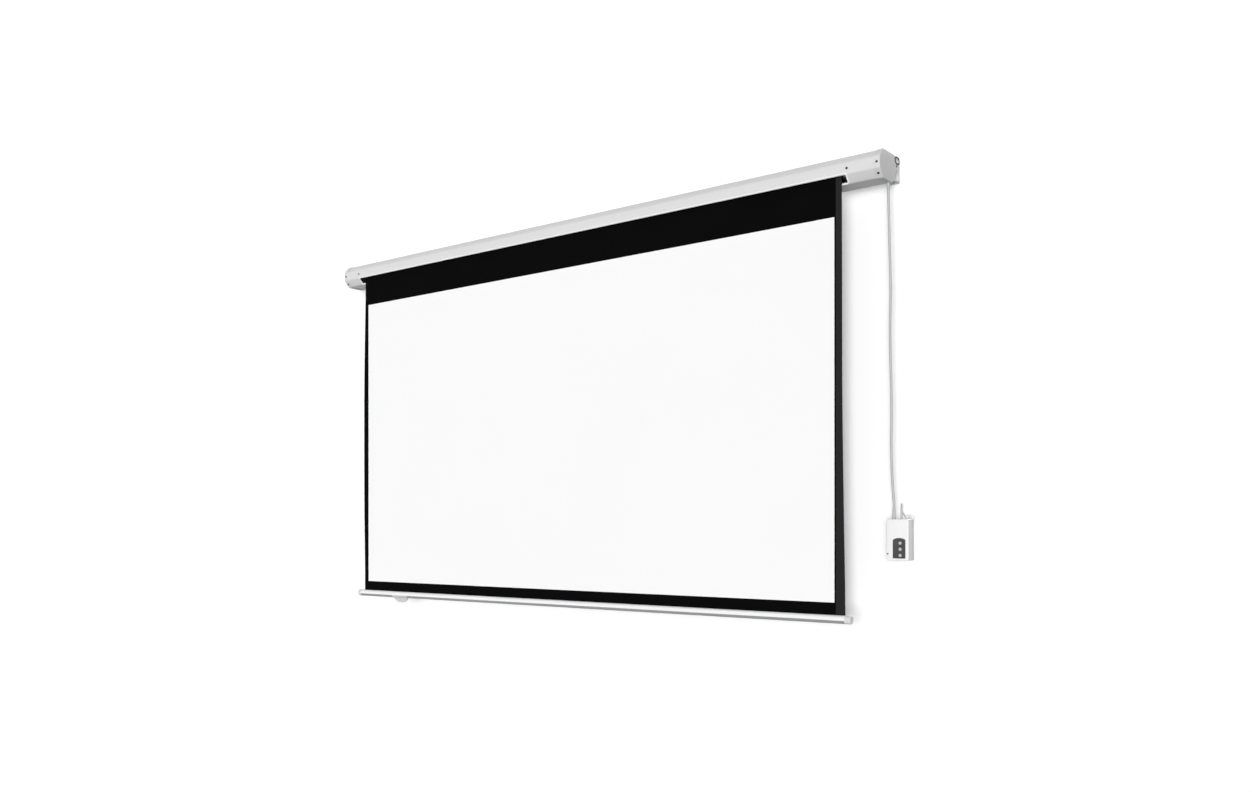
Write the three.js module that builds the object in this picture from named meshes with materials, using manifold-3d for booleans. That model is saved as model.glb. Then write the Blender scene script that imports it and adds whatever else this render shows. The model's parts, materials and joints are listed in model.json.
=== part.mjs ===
// Motorized projector screen, 100 inch at 16:9, for a wall, with a wired control box.
// Millimetres. X runs along the screen, Y into the wall, Z up. The front faces -Y.
// The sub-parts are drawn about the middle of the screen, the wall plane and the roller's axis height.
// The last lines move the whole to the idler end's wall bracket, which is the origin.

import * as THREE from 'three';
import { mergeVertices } from 'three/addons/utils/BufferGeometryUtils.js';
import Module from 'manifold-3d';

const wasm = await Module();
wasm.setup();

// Clearances shared by all the pieces
const fit = 0.3;
const runningFit = 0.6;
const overrun = 4;

// Screen cloth: the white viewing area and the black border round it
const viewWidth = 2214;
const viewHeight = 1245;
const sideBorder = 24;
const bottomBorder = 40;
const viewTopBelowAxis = 145;
const clothThickness = 0.5;
const coatThickness = 0.2;

// Housing: a rolled steel channel with bevelled edges
const housingHeight = 90;
const housingDepth = 114;
const frontBevel = 26;
const rearBevel = 12;
const sheet = 1.2;
const bendSetback = 4;
const idlerEndRoom = 88;
const motorEndRoom = 102;
const wallGap = 45;

// Slot in the lower bevel, which the cloth hangs through
const lipWidth = 5;
const hemRadius = 1.5;

// End caps
const capWall = 1.5;
const capPlate = 2.5;
const capSleeve = 20;
const capEdge = 1.2;

// Roller and what turns with it
const rollerRadius = 25;
const rollerWall = 1.2;
const rollerMargin = 7;
const clothSetBack = 16;
const windingTurns = 1.5;
const windingPitch = 1;
const windingGap = 0.3;
const crownWidth = 18;
const driveWheelWidth = 16;
const driveWheelHub = 12;
const driveWheelSpokes = 4;
const driveWheelPocketRadius = 5;
const plugWidth = 30;
const plugFlange = 3;
const pinRadius = 6;
const pinLength = 46;

// Tubular motor, which stands still inside the roller
const motorRadius = 22.4;
const motorLength = 480;
const motorShaftRadius = 5;
const motorShaftLength = 26;
const headRadius = 27;
const headWidth = 22.5;
const headBoss = 16;
const headLeadReach = 6;
const limitScrewRadius = 3;
const limitScrewLength = 7;
const limitScrewSpread = 15;
const hexShare = 0.55;

// Plates inside the housing that carry the roller
const plateThickness = 2.5;
const plateInset = 12;
const plateTab = 14;
const plateTabHalfHeight = 14;
const plateWindow = 11;
const plateWindowFromRear = 24.2;
const bushWall = 3;
const bushFlange = 2;

// Wall brackets
const bracketSheet = 2.5;
const wallFlange = 34;
const carryFlange = 22;
const bracketHeight = 92;
const eyeRadius = 9;
const eyeRise = 30;
const dropRadius = 12;
const dropFall = 20;
const dropTopRise = 13;
const bracketRound = 14;
const keyholeRadius = 5;
const keyholeSlotRadius = 2.8;
const keyholeDrop = 9;

// Screws
const screwHeadRadius = 4;
const screwHeadHeight = 2.2;
const screwShankRadius = 2;
const screwLength = 9;
const recessWidth = 1;
const recessDepth = 1;
const recessShare = 0.55;
const panHeadShares = [[1, 0], [1, 1 / 3], [0.75, 0.85], [0, 1]];
const wallScrewHeadRadius = 5;
const wallScrewHeadHeight = 3;
const wallScrewShankRadius = 2.2;

// Bottom bar
const barRadius = 13.5;
const barWall = 1.5;
const barMargin = 15;
const barCapLength = 22;
const barCapRim = 0.7;
const barCapShares = [[1, 0.45], [0.93, 0.2], [0.75, 0.05], [0, 0]];
const barCapPlug = 14;
const barSlot = 3;
const splineRadius = 4;
const splineMouth = 5;
const raisedClearance = 8;
const tabLength = 94;
const tabDrop = 20;
const tabThickness = 4;
const tabSaddle = 2;
const tabFromBarEnd = 250;

// Motor lead
const leadRadius = 3.75;
const glandFromEnd = 10.5;
const glandY = -68;
const glandNeckRadius = 5.5;
const glandFlangeRadius = 7.4;
const glandFlange = 2.5;
const glandTipRadius = 5;
const glandLength = 24;
const glandInside = 3;

// Control box on the lead
const boxWidth = 71;
const boxHeight = 131;
const boxDepth = 44;
const boxWall = 2;
const boxCorner = 5;
const boxEdge = 1.6;
const boxSplit = 15;
const boxBackFromWall = 30;
const boxPastEnd = 21;
const boxTopBelowAxis = 1121;
const lipOverlap = 2;
const lugRadius = 11;
const lugHoleRadius = 3;
const lugThickness = 3;
const lugFromEdge = 9;
const lugRise = 4;
const motorBootFromMiddle = 19.5;
const motorBootLength = 38;
const motorBootRadius = 8.5;
const motorBootTipRadius = 4.6;
const mainsBootFromMiddle = 5;
const mainsBootLength = 22;
const mainsBootRadius = 6;
const mainsBootTipRadius = 3.3;
const bootNeck = 4;
const bootRibs = 3;
const bootRibDepth = 0.6;
const bootNeckShare = 0.7;

// Keypad and its three buttons
const keypadWidth = 40;
const keypadHeight = 65;
const keypadArch = 6;
const keypadThickness = 1.6;
const keypadRecess = 0.9;
const keypadFromRight = 10;
const keypadFromBottom = 6.5;
const keypadLedge = 3;
const buttonRadius = 5;
const buttonProud = 1.4;
const buttonPitch = 19.5;
const buttonOffset = 3.5;
const buttonTravel = 1.2;
const buttonFlange = 1.3;
const buttonFlangeWidth = 1.1;
const buttonStemRadius = 2;
const buttonCrownShares = [[1, 0.7], [0.8, 0.95], [0, 1]];
const switchSide = 6;
const switchHeight = 3.5;
const boardThickness = 1.6;
const boardMargin = 5;
const boardSideGap = 1;
const boardFromFront = 14;
const bossRadius = 3;
const relaySize = [15, 9, 19];
const terminalSize = [40, 9, 11];
const caseScrewFromLeft = 4.5;
const caseScrewFromBottom = 21;
const caseScrewRadius = 2;

// Mains lead: its free stretch, its hank and its plug
const mainsRadius = 2.5;
const foldRadius = 14.4;
const reverseTurn = 2.125;
const loopStep = 5.8;
const layerStep = 5.5;
const runLength = 75;
const loopsPerLayer = 2;
const waistDraw = 6;
const hankFromBoxMiddle = 13;
const hankFromWall = 1.5;
const hankEntryDegrees = 24;
const returnFromHank = 2;
const returnFromWall = 13;
const tailRadius = 18;
const tailLeadIn = 6;
const tailStartShare = 0.45;
const tieWidth = 12;
const tieThickness = 1;
const plugBodyWidth = 35;
const plugBodyThickness = 13.7;
const plugBodyLength = 36;
const plugCorner = 3;
const plugShoulderShare = 0.55;
const plugNeckShare = 0.45;
const plugBootLength = 20;
const plugBootRadius = 4.6;
const prongRadius = 2;
const prongLength = 19;
const prongPitch = 18.6;

// Counts of sides and steps
const roundSides = 32;
const screwSides = 10;
const cordSides = 10;
const loopSides = 6;
const cordStepDiameters = 2.5;
const runSteps = 5;
const foldSteps = 7;
const bendSteps = 3;
const climbSteps = 1;
const climbTurns = 0.25;
const turnSlack = 1e-6;
const curveDivisions = 400;
const gapSamples = 6;
const weldShare = 0.001;

// Sizes that follow from the ones above
const halfHeight = housingHeight / 2;
const rearY = -wallGap;
const frontY = rearY - housingDepth;
const clothY = frontY + clothSetBack;
const windingInner = rollerRadius + windingGap;
const windingOuter = windingInner + windingPitch * windingTurns + clothThickness;
const rollerY = clothY + windingOuter - clothThickness / 2;
const clothWidth = viewWidth + 2 * sideBorder;
const rollerHalfLength = clothWidth / 2 + rollerMargin;
const headFrom = rollerHalfLength + 2 * runningFit;
const headTo = headFrom + headWidth;
const plateX = headTo + fit;
const slotHalfLength = plateX - plateInset;
const idlerEndSpan = plateX + idlerEndRoom;
const motorEndSpan = plateX + motorEndRoom;
const barHalfLength = clothWidth / 2 + barMargin;
const tabCentre = tabFromBarEnd - barHalfLength;
const hemZ = -viewTopBelowAxis - viewHeight - bottomBorder;
const barZ = hemZ - barRadius;
const slotEdge = barSlot / 2;
const barEdgeRise = Math.sqrt((barRadius - barWall) ** 2 - slotEdge ** 2);
const splineRise = barEdgeRise - Math.sqrt((splineRadius + fit) ** 2 - slotEdge ** 2);
const splineZ = barZ + splineRise;
const clothEndZ = splineZ + splineRadius - splineMouth + fit;
const screenTravel = -halfHeight - raisedClearance - hemZ;
const slotTop = new THREE.Vector2(frontY, -halfHeight + frontBevel);
const slantStep = Math.SQRT1_2 * lipWidth;
const slotFoot = new THREE.Vector2(frontY + frontBevel - slantStep, -halfHeight + slantStep);
const slantOut = new THREE.Vector2(-1, -1).normalize();
const glandX = motorEndSpan - glandFromEnd;
const boxMiddleX = motorEndSpan + boxPastEnd;
const motorBootX = boxMiddleX - motorBootFromMiddle;
const mainsBootX = boxMiddleX + mainsBootFromMiddle;
const hankMiddleX = boxMiddleX - hankFromBoxMiddle;
const returnX = hankMiddleX + returnFromHank;
const boxMiddleZ = -boxTopBelowAxis - boxHeight / 2;
const boxTopZ = -boxTopBelowAxis;
const boxBackY = -boxBackFromWall;
const boxFrontY = boxBackY - boxDepth;
const boxSplitY = boxBackY - boxSplit;
const bootY = boxFrontY + boxDepth / 2;
const boardFrontY = boxFrontY + boardFromFront;

// Materials
const finishes = {
  paint: { color: 0xe4e4e4, roughness: 0.45, metalness: 0 },
  capPlastic: { color: 0xdedede, roughness: 0.5, metalness: 0 },
  blackCloth: { color: 0x101011, roughness: 0.9, metalness: 0 },
  whiteCoat: { color: 0xfbfbfb, roughness: 0.95, metalness: 0 },
  aluminium: { color: 0xb9bcc0, roughness: 0.4, metalness: 0.9 },
  zinc: { color: 0x9b9da1, roughness: 0.45, metalness: 0.8 },
  darkPlastic: { color: 0x2c2c2e, roughness: 0.6, metalness: 0 },
  greyPlastic: { color: 0xbfc1c3, roughness: 0.55, metalness: 0 },
  whitePlastic: { color: 0xf0f0f0, roughness: 0.45, metalness: 0 },
  cordJacket: { color: 0xbcbec0, roughness: 0.6, metalness: 0 },
  board: { color: 0x2f6b3f, roughness: 0.6, metalness: 0 },
  limitRed: { color: 0xb0302c, roughness: 0.5, metalness: 0 },
  brass: { color: 0xc9a85a, roughness: 0.35, metalness: 0.9 },
};

const part = new THREE.Group();
const screen = new THREE.Group();
part.add(screen);

function addNode(name, geometry, finish) {
  const mesh = new THREE.Mesh(geometry, new THREE.MeshStandardMaterial(finishes[finish]));
  mesh.name = name;
  screen.add(mesh);
  return mesh;
}

// Solids: each helper gives a closed body in the frame of the part

function weld(geometry) {
  const bare = geometry.clone();
  bare.deleteAttribute('normal');
  bare.deleteAttribute('uv');
  return mergeVertices(bare, fit * weldShare);
}

function toSolid(geometry) {
  const bare = weld(geometry);
  const vertProperties = new Float32Array(bare.attributes.position.array);
  const triVerts = new Uint32Array(bare.index.array);
  return new wasm.Manifold(new wasm.Mesh({ numProp: 3, vertProperties, triVerts }));
}

function fromSolid(solid) {
  const mesh = solid.getMesh();
  const geometry = new THREE.BufferGeometry();
  geometry.setAttribute('position', new THREE.BufferAttribute(mesh.vertProperties, mesh.numProp));
  geometry.setIndex(new THREE.BufferAttribute(mesh.triVerts, 1));
  geometry.computeVertexNormals();
  return geometry;
}

function cut(base, ...tools) {
  return fromSolid(tools.reduce((solid, tool) => solid.subtract(toSolid(tool)), toSolid(base)));
}

function join(base, ...others) {
  return fromSolid(others.reduce((solid, other) => solid.add(toSolid(other)), toSolid(base)));
}

function common(base, other) {
  return fromSolid(toSolid(base).intersect(toSolid(other)));
}

const unitX = new THREE.Vector3(1, 0, 0);
const unitY = new THREE.Vector3(0, 1, 0);
const unitZ = new THREE.Vector3(0, 0, 1);
const sectionToPart = new THREE.Matrix4().makeBasis(unitY, unitZ, unitX);
const latheToX = new THREE.Matrix4().makeBasis(unitZ, unitX, unitY);
const frontToPart = new THREE.Matrix4().makeBasis(unitX, unitZ, unitY.clone().negate());

// A (y, z) section drawn out along X
function alongX(shape, fromX, toX, curveSegments = bendSteps) {
  const settings = { depth: toX - fromX, bevelEnabled: false, curveSegments };
  const geometry = new THREE.ExtrudeGeometry(shape, settings);
  return geometry.applyMatrix4(sectionToPart).translate(fromX, 0, 0);
}

// An (x, z) outline drawn out towards the front, with an optional bevel on its front edge
function towardsFront(shape, backY, depth, edge = 0, curveSegments = bendSteps) {
  const bevel = { bevelThickness: edge, bevelSize: edge, bevelOffset: -edge, bevelSegments: 1 };
  bevel.bevelEnabled = edge > 0;
  const length = edge > 0 ? depth - edge + overrun : depth;
  const geometry = new THREE.ExtrudeGeometry(shape, { depth: length, curveSegments, ...bevel });
  geometry.applyMatrix4(frontToPart);
  if (edge === 0) return geometry.translate(0, backY, 0);
  geometry.translate(0, backY + overrun, 0);
  geometry.computeBoundingBox();
  const reach = geometry.boundingBox.getSize(new THREE.Vector3()).multiplyScalar(2);
  const behind = new THREE.BoxGeometry(reach.x, reach.y, reach.z);
  const middle = geometry.boundingBox.getCenter(new THREE.Vector3());
  behind.translate(middle.x, backY + reach.y / 2, middle.z);
  return cut(geometry, behind);
}

// A profile of [radius, x] points turned about X, at the given y and z
function turnedX(profile, y, z, sides = roundSides) {
  const points = profile.map(([radius, along]) => new THREE.Vector2(radius, along));
  return new THREE.LatheGeometry(points, sides).applyMatrix4(latheToX).translate(0, y, z);
}

// A profile of [radius, height] points turned about a line through a point
function turnedAbout(profile, point, direction, sides = roundSides) {
  const points = profile.map(([radius, along]) => new THREE.Vector2(radius, along));
  const turn = new THREE.Quaternion().setFromUnitVectors(unitY, direction.clone().normalize());
  const geometry = new THREE.LatheGeometry(points, sides).applyQuaternion(turn);
  return geometry.translate(point.x, point.y, point.z);
}

function rodAlongX(radius, fromX, toX, y, z, sides = roundSides) {
  return turnedX([[0, fromX], [radius, fromX], [radius, toX], [0, toX]], y, z, sides);
}

function tubeAlongX(outer, inner, fromX, toX, y, z, sides = roundSides) {
  return turnedX([[inner, fromX], [outer, fromX], [outer, toX], [inner, toX], [inner, fromX]], y, z, sides);
}

function rodBetween(radius, from, to, sides = roundSides) {
  const direction = to.clone().sub(from);
  const length = direction.length();
  return turnedAbout([[0, 0], [radius, 0], [radius, length], [0, length]], from, direction, sides);
}

function block(fromX, toX, fromY, toY, fromZ, toZ) {
  const geometry = new THREE.BoxGeometry(toX - fromX, toY - fromY, toZ - fromZ);
  return geometry.translate((fromX + toX) / 2, (fromY + toY) / 2, (fromZ + toZ) / 2);
}

function sorted(...values) {
  return values.sort((a, b) => a - b);
}

// A polygon whose corners are rounded over a setback along both sides
function rounded(points, setback, target = new THREE.Shape()) {
  points.forEach((corner, i) => {
    const before = points[(i + points.length - 1) % points.length];
    const after = points[(i + 1) % points.length];
    const start = before.clone().sub(corner).setLength(setback).add(corner);
    const end = after.clone().sub(corner).setLength(setback).add(corner);
    if (i === 0) target.moveTo(start.x, start.y);
    else target.lineTo(start.x, start.y);
    target.quadraticCurveTo(corner.x, corner.y, end.x, end.y);
  });
  target.closePath();
  return target;
}

function rectangle(fromX, toX, fromZ, toZ) {
  return [[fromX, fromZ], [toX, fromZ], [toX, toZ], [fromX, toZ]].map(([x, z]) => new THREE.Vector2(x, z));
}

function circlePath(x, z, radius) {
  return new THREE.Path().absarc(x, z, radius, 0, 2 * Math.PI, true);
}

// Screws

function crossRecess(radius) {
  const length = radius * 2 * recessShare;
  const blade = new THREE.BoxGeometry(length, 2 * recessDepth, recessWidth);
  const other = new THREE.BoxGeometry(recessWidth, 2 * recessDepth, length);
  return join(blade, other);
}

// A pan-head screw with a cross recess; seat is where the underside of its head lies
function panScrew(seat, outward, length = screwLength, head = screwHeadRadius, height = screwHeadHeight,
  shank = screwShankRadius) {
  const profile = [
    [0, -length],
    [shank, -length + shank],
    [shank, 0],
    ...panHeadShares.map(([out, up]) => [head * out, height * up]),
  ];
  const body = turnedAbout(profile, new THREE.Vector3(), unitY, screwSides);
  const recess = crossRecess(head).translate(0, height, 0);
  const screw = cut(body, recess);
  const turn = new THREE.Quaternion().setFromUnitVectors(unitY, outward.clone().normalize());
  return screw.applyQuaternion(turn).translate(seat.x, seat.y, seat.z);
}

function screwHole(seat, outward, radius = screwShankRadius + fit) {
  const along = outward.clone().normalize();
  const from = seat.clone().addScaledVector(along, -screwLength - overrun);
  return rodBetween(radius, from, seat.clone().addScaledVector(along, overrun), screwSides);
}

// Housing

// The channel's outline, grown outwards by an offset that keeps the bevels parallel
function housingPoints(grow) {
  const bevelGrowth = grow * (2 - Math.SQRT2);
  const bevel = frontBevel + bevelGrowth;
  const rear = rearBevel + bevelGrowth;
  const front = frontY - grow;
  const back = rearY + grow;
  const top = halfHeight + grow;
  return [
    [front, -top + bevel],
    [front + bevel, -top],
    [back - rear, -top],
    [back, -top + rear],
    [back, top],
    [front + bevel, top],
    [front, top - bevel],
  ].map(([y, z]) => new THREE.Vector2(y, z));
}

function housingOutline(grow) {
  return rounded(housingPoints(grow), bendSetback);
}

const frontward = unitY.clone().negate();
const slantward = new THREE.Vector3(0, slantOut.x, slantOut.y);
const slantMiddleY = frontY + frontBevel / 2;
const slantMiddleZ = -halfHeight + frontBevel / 2;

const ends = [
  { name: 'idler', side: -1, span: idlerEndSpan },
  { name: 'motor', side: 1, span: motorEndSpan },
];

function capScrewSeats(end) {
  const x = end.side * (end.span - capSleeve / 2);
  const lift = capWall + fit;
  return [
    { place: 'front', outward: frontward, seat: new THREE.Vector3(x, frontY - lift - fit, 0) },
    {
      place: 'slant',
      outward: slantward,
      seat: new THREE.Vector3(x, slantMiddleY, slantMiddleZ).addScaledVector(slantward, lift + fit),
    },
  ];
}

function plateScrewSeat(end) {
  return new THREE.Vector3(end.side * (plateX - plateTab / 2), frontY - fit, 0);
}

function hangerSeats(end) {
  const x = end.side * (end.span - bracketSheet - carryFlange / 2);
  const y = rearY + capWall + 2 * fit + bracketSheet + fit;
  return [eyeRise, -eyeRise].map((z) => new THREE.Vector3(x, y, z));
}

function shellSpan(end) {
  return end.side * (end.span - capPlate - fit);
}

function slotCut() {
  const reach = sheet + overrun;
  const outer = slantOut.clone().multiplyScalar(reach);
  const corners = [
    slotTop.clone().add(outer),
    slotFoot.clone().add(outer),
    slotFoot.clone().sub(outer),
    slotTop.clone().sub(outer),
  ];
  return alongX(new THREE.Shape(corners), -slotHalfLength, slotHalfLength);
}

// The slot's two long edges are rolled over into round hems
function slotHems() {
  const reach = slotHalfLength + hemRadius;
  const lower = slotFoot.clone().addScaledVector(slantOut, -hemRadius);
  const upperY = frontY + hemRadius;
  return [
    rodAlongX(hemRadius, -reach, reach, upperY, slotTop.y, screwSides),
    rodAlongX(hemRadius, -reach, reach, lower.x, lower.y, screwSides),
  ];
}

function housingShell() {
  const outline = housingOutline(0);
  outline.holes.push(rounded(housingPoints(-sheet), bendSetback, new THREE.Path()));
  const channel = alongX(outline, shellSpan(ends[0]), shellSpan(ends[1]));
  const opened = join(cut(channel, slotCut()), ...slotHems());
  const holes = ends.flatMap((end) => [
    ...capScrewSeats(end).map(({ seat, outward }) => screwHole(seat, outward)),
    screwHole(plateScrewSeat(end), frontward),
    ...hangerSeats(end).map((seat) => screwHole(seat, unitY, screwShankRadius + fit)),
  ]);
  return cut(opened, ...holes, glandHole());
}

function glandHole() {
  const from = new THREE.Vector3(glandX, glandY, -halfHeight - overrun);
  const to = new THREE.Vector3(glandX, glandY, -halfHeight + overrun);
  return rodBetween(glandNeckRadius + fit, from, to);
}

// A moulded cap: a plate with a sleeve that goes over the end of the channel
function endCap(end) {
  const outer = end.side * end.span;
  const inner = end.side * (end.span - capSleeve);
  const plateInner = end.side * (end.span - capPlate);
  const [from, to] = sorted(inner, outer);
  const depth = to - from - 2 * capEdge;
  const bevel = { bevelThickness: capEdge, bevelSize: capEdge, bevelOffset: -capEdge, bevelSegments: 2 };
  const settings = { depth, curveSegments: bendSteps, ...bevel };
  const solid = new THREE.ExtrudeGeometry(housingOutline(fit + capWall), settings);
  solid.applyMatrix4(sectionToPart).translate(from + capEdge, 0, 0);
  const [cavityFrom, cavityTo] = sorted(inner - end.side * overrun, plateInner);
  const cavity = alongX(housingOutline(fit), cavityFrom, cavityTo);
  const holes = [
    ...capScrewSeats(end).map(({ seat, outward }) => screwHole(seat, outward)),
    ...hangerSeats(end).map((seat) => screwHole(seat, unitY)),
  ];
  if (end.side > 0) holes.push(glandHole());
  return cut(solid, cavity, ...holes);
}

// The plate that closes the roller's space at each end and carries it, with a tab behind the front face
function rollerPlate(end) {
  const grow = -sheet - fit;
  const plateOuter = plateX + plateThickness;
  const [from, to] = sorted(end.side * plateX, end.side * plateOuter);
  const plate = alongX(housingOutline(grow), from, to);
  const [tabFrom, tabTo] = sorted(end.side * (plateX - plateTab), end.side * plateOuter);
  const tabFront = frontY - grow;
  const tabBack = tabFront + plateThickness;
  const tab = block(tabFrom, tabTo, tabFront, tabBack, -plateTabHalfHeight, plateTabHalfHeight);
  const windowX = [from - overrun, to + overrun];
  const windowY = rearY - plateWindowFromRear;
  const window = rodAlongX(plateWindow, ...windowX, windowY, 0);
  const square = headBoss / 2 + fit;
  const bore = end.side > 0
    ? block(...windowX, rollerY - square, rollerY + square, -square, square)
    : rodAlongX(pinRadius + bushWall + 2 * fit, ...windowX, rollerY, 0);
  const extra = end.side > 0 ? [limitWindow(windowX), leadWindow(windowX)] : [];
  return cut(join(plate, tab), window, bore, screwHole(plateScrewSeat(end), frontward), ...extra);
}

// Wall bracket: a cheek beside the gap with an eye and a drop-shaped opening, a flange on the wall
// and a flange behind the cap
function dropPath() {
  const middleY = -wallGap / 2;
  const waist = -dropFall + dropRadius;
  const tip = waist + dropTopRise;
  const path = new THREE.Path();
  path.moveTo(middleY, tip);
  path.quadraticCurveTo(middleY + dropRadius / 2, waist, middleY + dropRadius, -dropFall);
  path.absarc(middleY, -dropFall, dropRadius, 0, -Math.PI, true);
  path.quadraticCurveTo(middleY - dropRadius / 2, waist, middleY, tip);
  return path;
}

function wallBracket(end) {
  const [from, to] = sorted(end.side * end.span, end.side * (end.span - bracketSheet));
  const half = bracketHeight / 2;
  const carryY = rearY + capWall + 2 * fit;
  const cheekShape = rounded(rectangle(carryY, 0, -half, half), bendSetback);
  cheekShape.holes.push(circlePath(-wallGap / 2, eyeRise, eyeRadius), dropPath());
  const cheek = alongX(cheekShape, from, to, bendSteps * 2);
  const wallShape = rounded(flangeOutline(end, wallFlange, half), bracketRound);
  keyholes(end).forEach((path) => wallShape.holes.push(path));
  const wall = towardsFront(wallShape, 0, bracketSheet, 0, bendSteps * 2);
  const carryShape = rounded(flangeOutline(end, carryFlange, half), bendSetback);
  const carry = towardsFront(carryShape, carryY + bracketSheet, bracketSheet);
  const holes = hangerSeats(end).map((seat) => screwHole(seat, unitY));
  return cut(join(cheek, wall, carry), ...holes);
}

function flangeOutline(end, width, half) {
  const [from, to] = sorted(end.side * end.span, end.side * (end.span - width));
  return rectangle(from, to, -half, half);
}

function wallScrewX(end) {
  return end.side * (end.span - wallFlange + bracketRound);
}

function keyholes(end) {
  const x = wallScrewX(end);
  return [eyeRise, -eyeRise].map((z) => {
    const path = new THREE.Path();
    const open = Math.asin(keyholeSlotRadius / keyholeRadius);
    path.absarc(x, z - keyholeDrop, keyholeRadius, Math.PI / 2 - open, Math.PI / 2 + open, true);
    path.absarc(x, z, keyholeSlotRadius, Math.PI, 0, true);
    return path;
  });
}

// The wall screws' shanks stop at the wall plane
function wallScrew(end, z) {
  const seat = new THREE.Vector3(wallScrewX(end), -bracketSheet - fit, z);
  const head = [wallScrewHeadRadius, wallScrewHeadHeight, wallScrewShankRadius];
  return panScrew(seat, frontward, bracketSheet, ...head);
}

// Roller

function rollerTube() {
  const inner = rollerRadius - rollerWall;
  return tubeAlongX(rollerRadius, inner, -rollerHalfLength, rollerHalfLength, rollerY, 0);
}

function windingRadius(turn) {
  return windingOuter - clothThickness - windingPitch * turn;
}

// The cloth's last turns on the roller, one spiral that leaves it at the front
function clothWinding() {
  const steps = Math.round(windingTurns * roundSides);
  const at = (extra) => (_, i) => {
    const turn = (i / steps) * windingTurns;
    const angle = Math.PI - turn * 2 * Math.PI;
    const radius = windingRadius(turn) + extra;
    return new THREE.Vector2(rollerY + radius * Math.cos(angle), radius * Math.sin(angle));
  };
  const outer = Array.from({ length: steps + 1 }, at(clothThickness));
  const inner = Array.from({ length: steps + 1 }, at(0)).reverse();
  return alongX(new THREE.Shape([...outer, ...inner]), -clothWidth / 2, clothWidth / 2);
}

function crownRing() {
  const outer = rollerRadius - rollerWall - fit;
  return tubeAlongX(outer, motorRadius + fit, rollerHalfLength - crownWidth, rollerHalfLength, rollerY, 0);
}

const driveWheelX = rollerHalfLength - crownWidth - motorLength;

// The wheel that the motor's shaft turns, with pockets between its spokes
function driveWheel() {
  const outer = rollerRadius - rollerWall - fit;
  const from = driveWheelX - fit - driveWheelWidth;
  const to = driveWheelX - fit;
  const disc = tubeAlongX(outer, motorShaftRadius + fit, from, to, rollerY, 0);
  const pocketRing = (outer + driveWheelHub) / 2;
  const pockets = Array.from({ length: driveWheelSpokes }, (_, i) => {
    const angle = (i + 0.5) * 2 * Math.PI / driveWheelSpokes;
    const y = rollerY + pocketRing * Math.cos(angle);
    const z = pocketRing * Math.sin(angle);
    return rodAlongX(driveWheelPocketRadius, from - overrun, to + overrun, y, z, screwSides);
  });
  return cut(disc, ...pockets);
}

// The shaft's end at the motor lies in the gap that the motor tube leaves for it
function motorShaft() {
  const from = driveWheelX - fit - motorShaftLength;
  return rodAlongX(motorShaftRadius, from, driveWheelX - fit, rollerY, 0, screwSides * 2);
}

function motorTube() {
  const edge = capEdge;
  const right = rollerHalfLength + runningFit;
  return turnedX([
    [0, driveWheelX],
    [motorRadius - edge, driveWheelX],
    [motorRadius, driveWheelX + edge],
    [motorRadius, right],
    [0, right],
  ], rollerY, 0);
}

function limitScrewPlaces() {
  const z = -headBoss / 2 - limitScrewRadius * 2;
  return [-1, 1].map((side) => ({ y: rollerY + side * limitScrewSpread / 2, z }));
}

function limitWindow(windowX) {
  const reach = limitScrewSpread / 2 + limitScrewRadius * 2;
  const middle = -headBoss / 2 - limitScrewRadius * 2;
  const half = limitScrewRadius + 2 * fit;
  return block(...windowX, rollerY - reach, rollerY + reach, middle - half, middle + half);
}

const headLeadY = rollerY + headRadius - leadRadius * 2;
const headLeadZ = 0;

function leadWindow(windowX) {
  return rodAlongX(leadRadius + 2 * fit, ...windowX, headLeadY, headLeadZ, cordSides * 2);
}

// The still head: a round block with a square boss through the plate and holes for the two limit screws
function motorHead() {
  const drum = rodAlongX(headRadius, headFrom, headTo, rollerY, 0);
  const half = headBoss / 2;
  const bossEnd = plateX + plateThickness + fit;
  const boss = block(headTo - overrun, bossEnd, rollerY - half, rollerY + half, -half, half);
  const outside = headTo + overrun;
  const wells = limitScrewPlaces().map(({ y, z }) =>
    rodAlongX(limitScrewRadius + fit, headTo - limitScrewLength, outside, y, z, screwSides * 2));
  const leadFrom = headTo - headLeadReach;
  const leadWell = rodAlongX(leadRadius + fit, leadFrom, outside, headLeadY, headLeadZ, cordSides * 2);
  return cut(join(drum, boss), ...wells, leadWell);
}

function limitScrew({ y, z }) {
  const to = headTo + plateThickness;
  const screw = rodAlongX(limitScrewRadius, headTo - limitScrewLength + fit, to, y, z, screwSides * 2);
  const socket = rodAlongX(limitScrewRadius * hexShare, to - limitScrewRadius, to + overrun, y, z, 6);
  return cut(screw, socket);
}

// The plug in the roller's other end, on a pin that turns in the plate's bush
function idlerPlug() {
  const outer = rollerRadius - rollerWall - fit;
  const end = -rollerHalfLength;
  const bore = pinRadius + fit;
  return turnedX([
    [bore, end - plugFlange],
    [rollerRadius, end - plugFlange],
    [rollerRadius, end - fit],
    [outer, end - fit],
    [outer, end + plugWidth],
    [outer - capPlate, end + plugWidth],
    [outer - capPlate, end + plugFlange],
    [pinRadius + bushWall, end + plugFlange],
    [pinRadius + bushWall, end + plugWidth],
    [bore, end + plugWidth],
    [bore, end - plugFlange],
  ], rollerY, 0);
}

function idlerPin() {
  const from = -plateX - plateThickness - bushFlange;
  return turnedX([
    [0, from],
    [pinRadius - capEdge, from],
    [pinRadius, from + capEdge],
    [pinRadius, from + pinLength],
    [0, from + pinLength],
  ], rollerY, 0);
}

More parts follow.
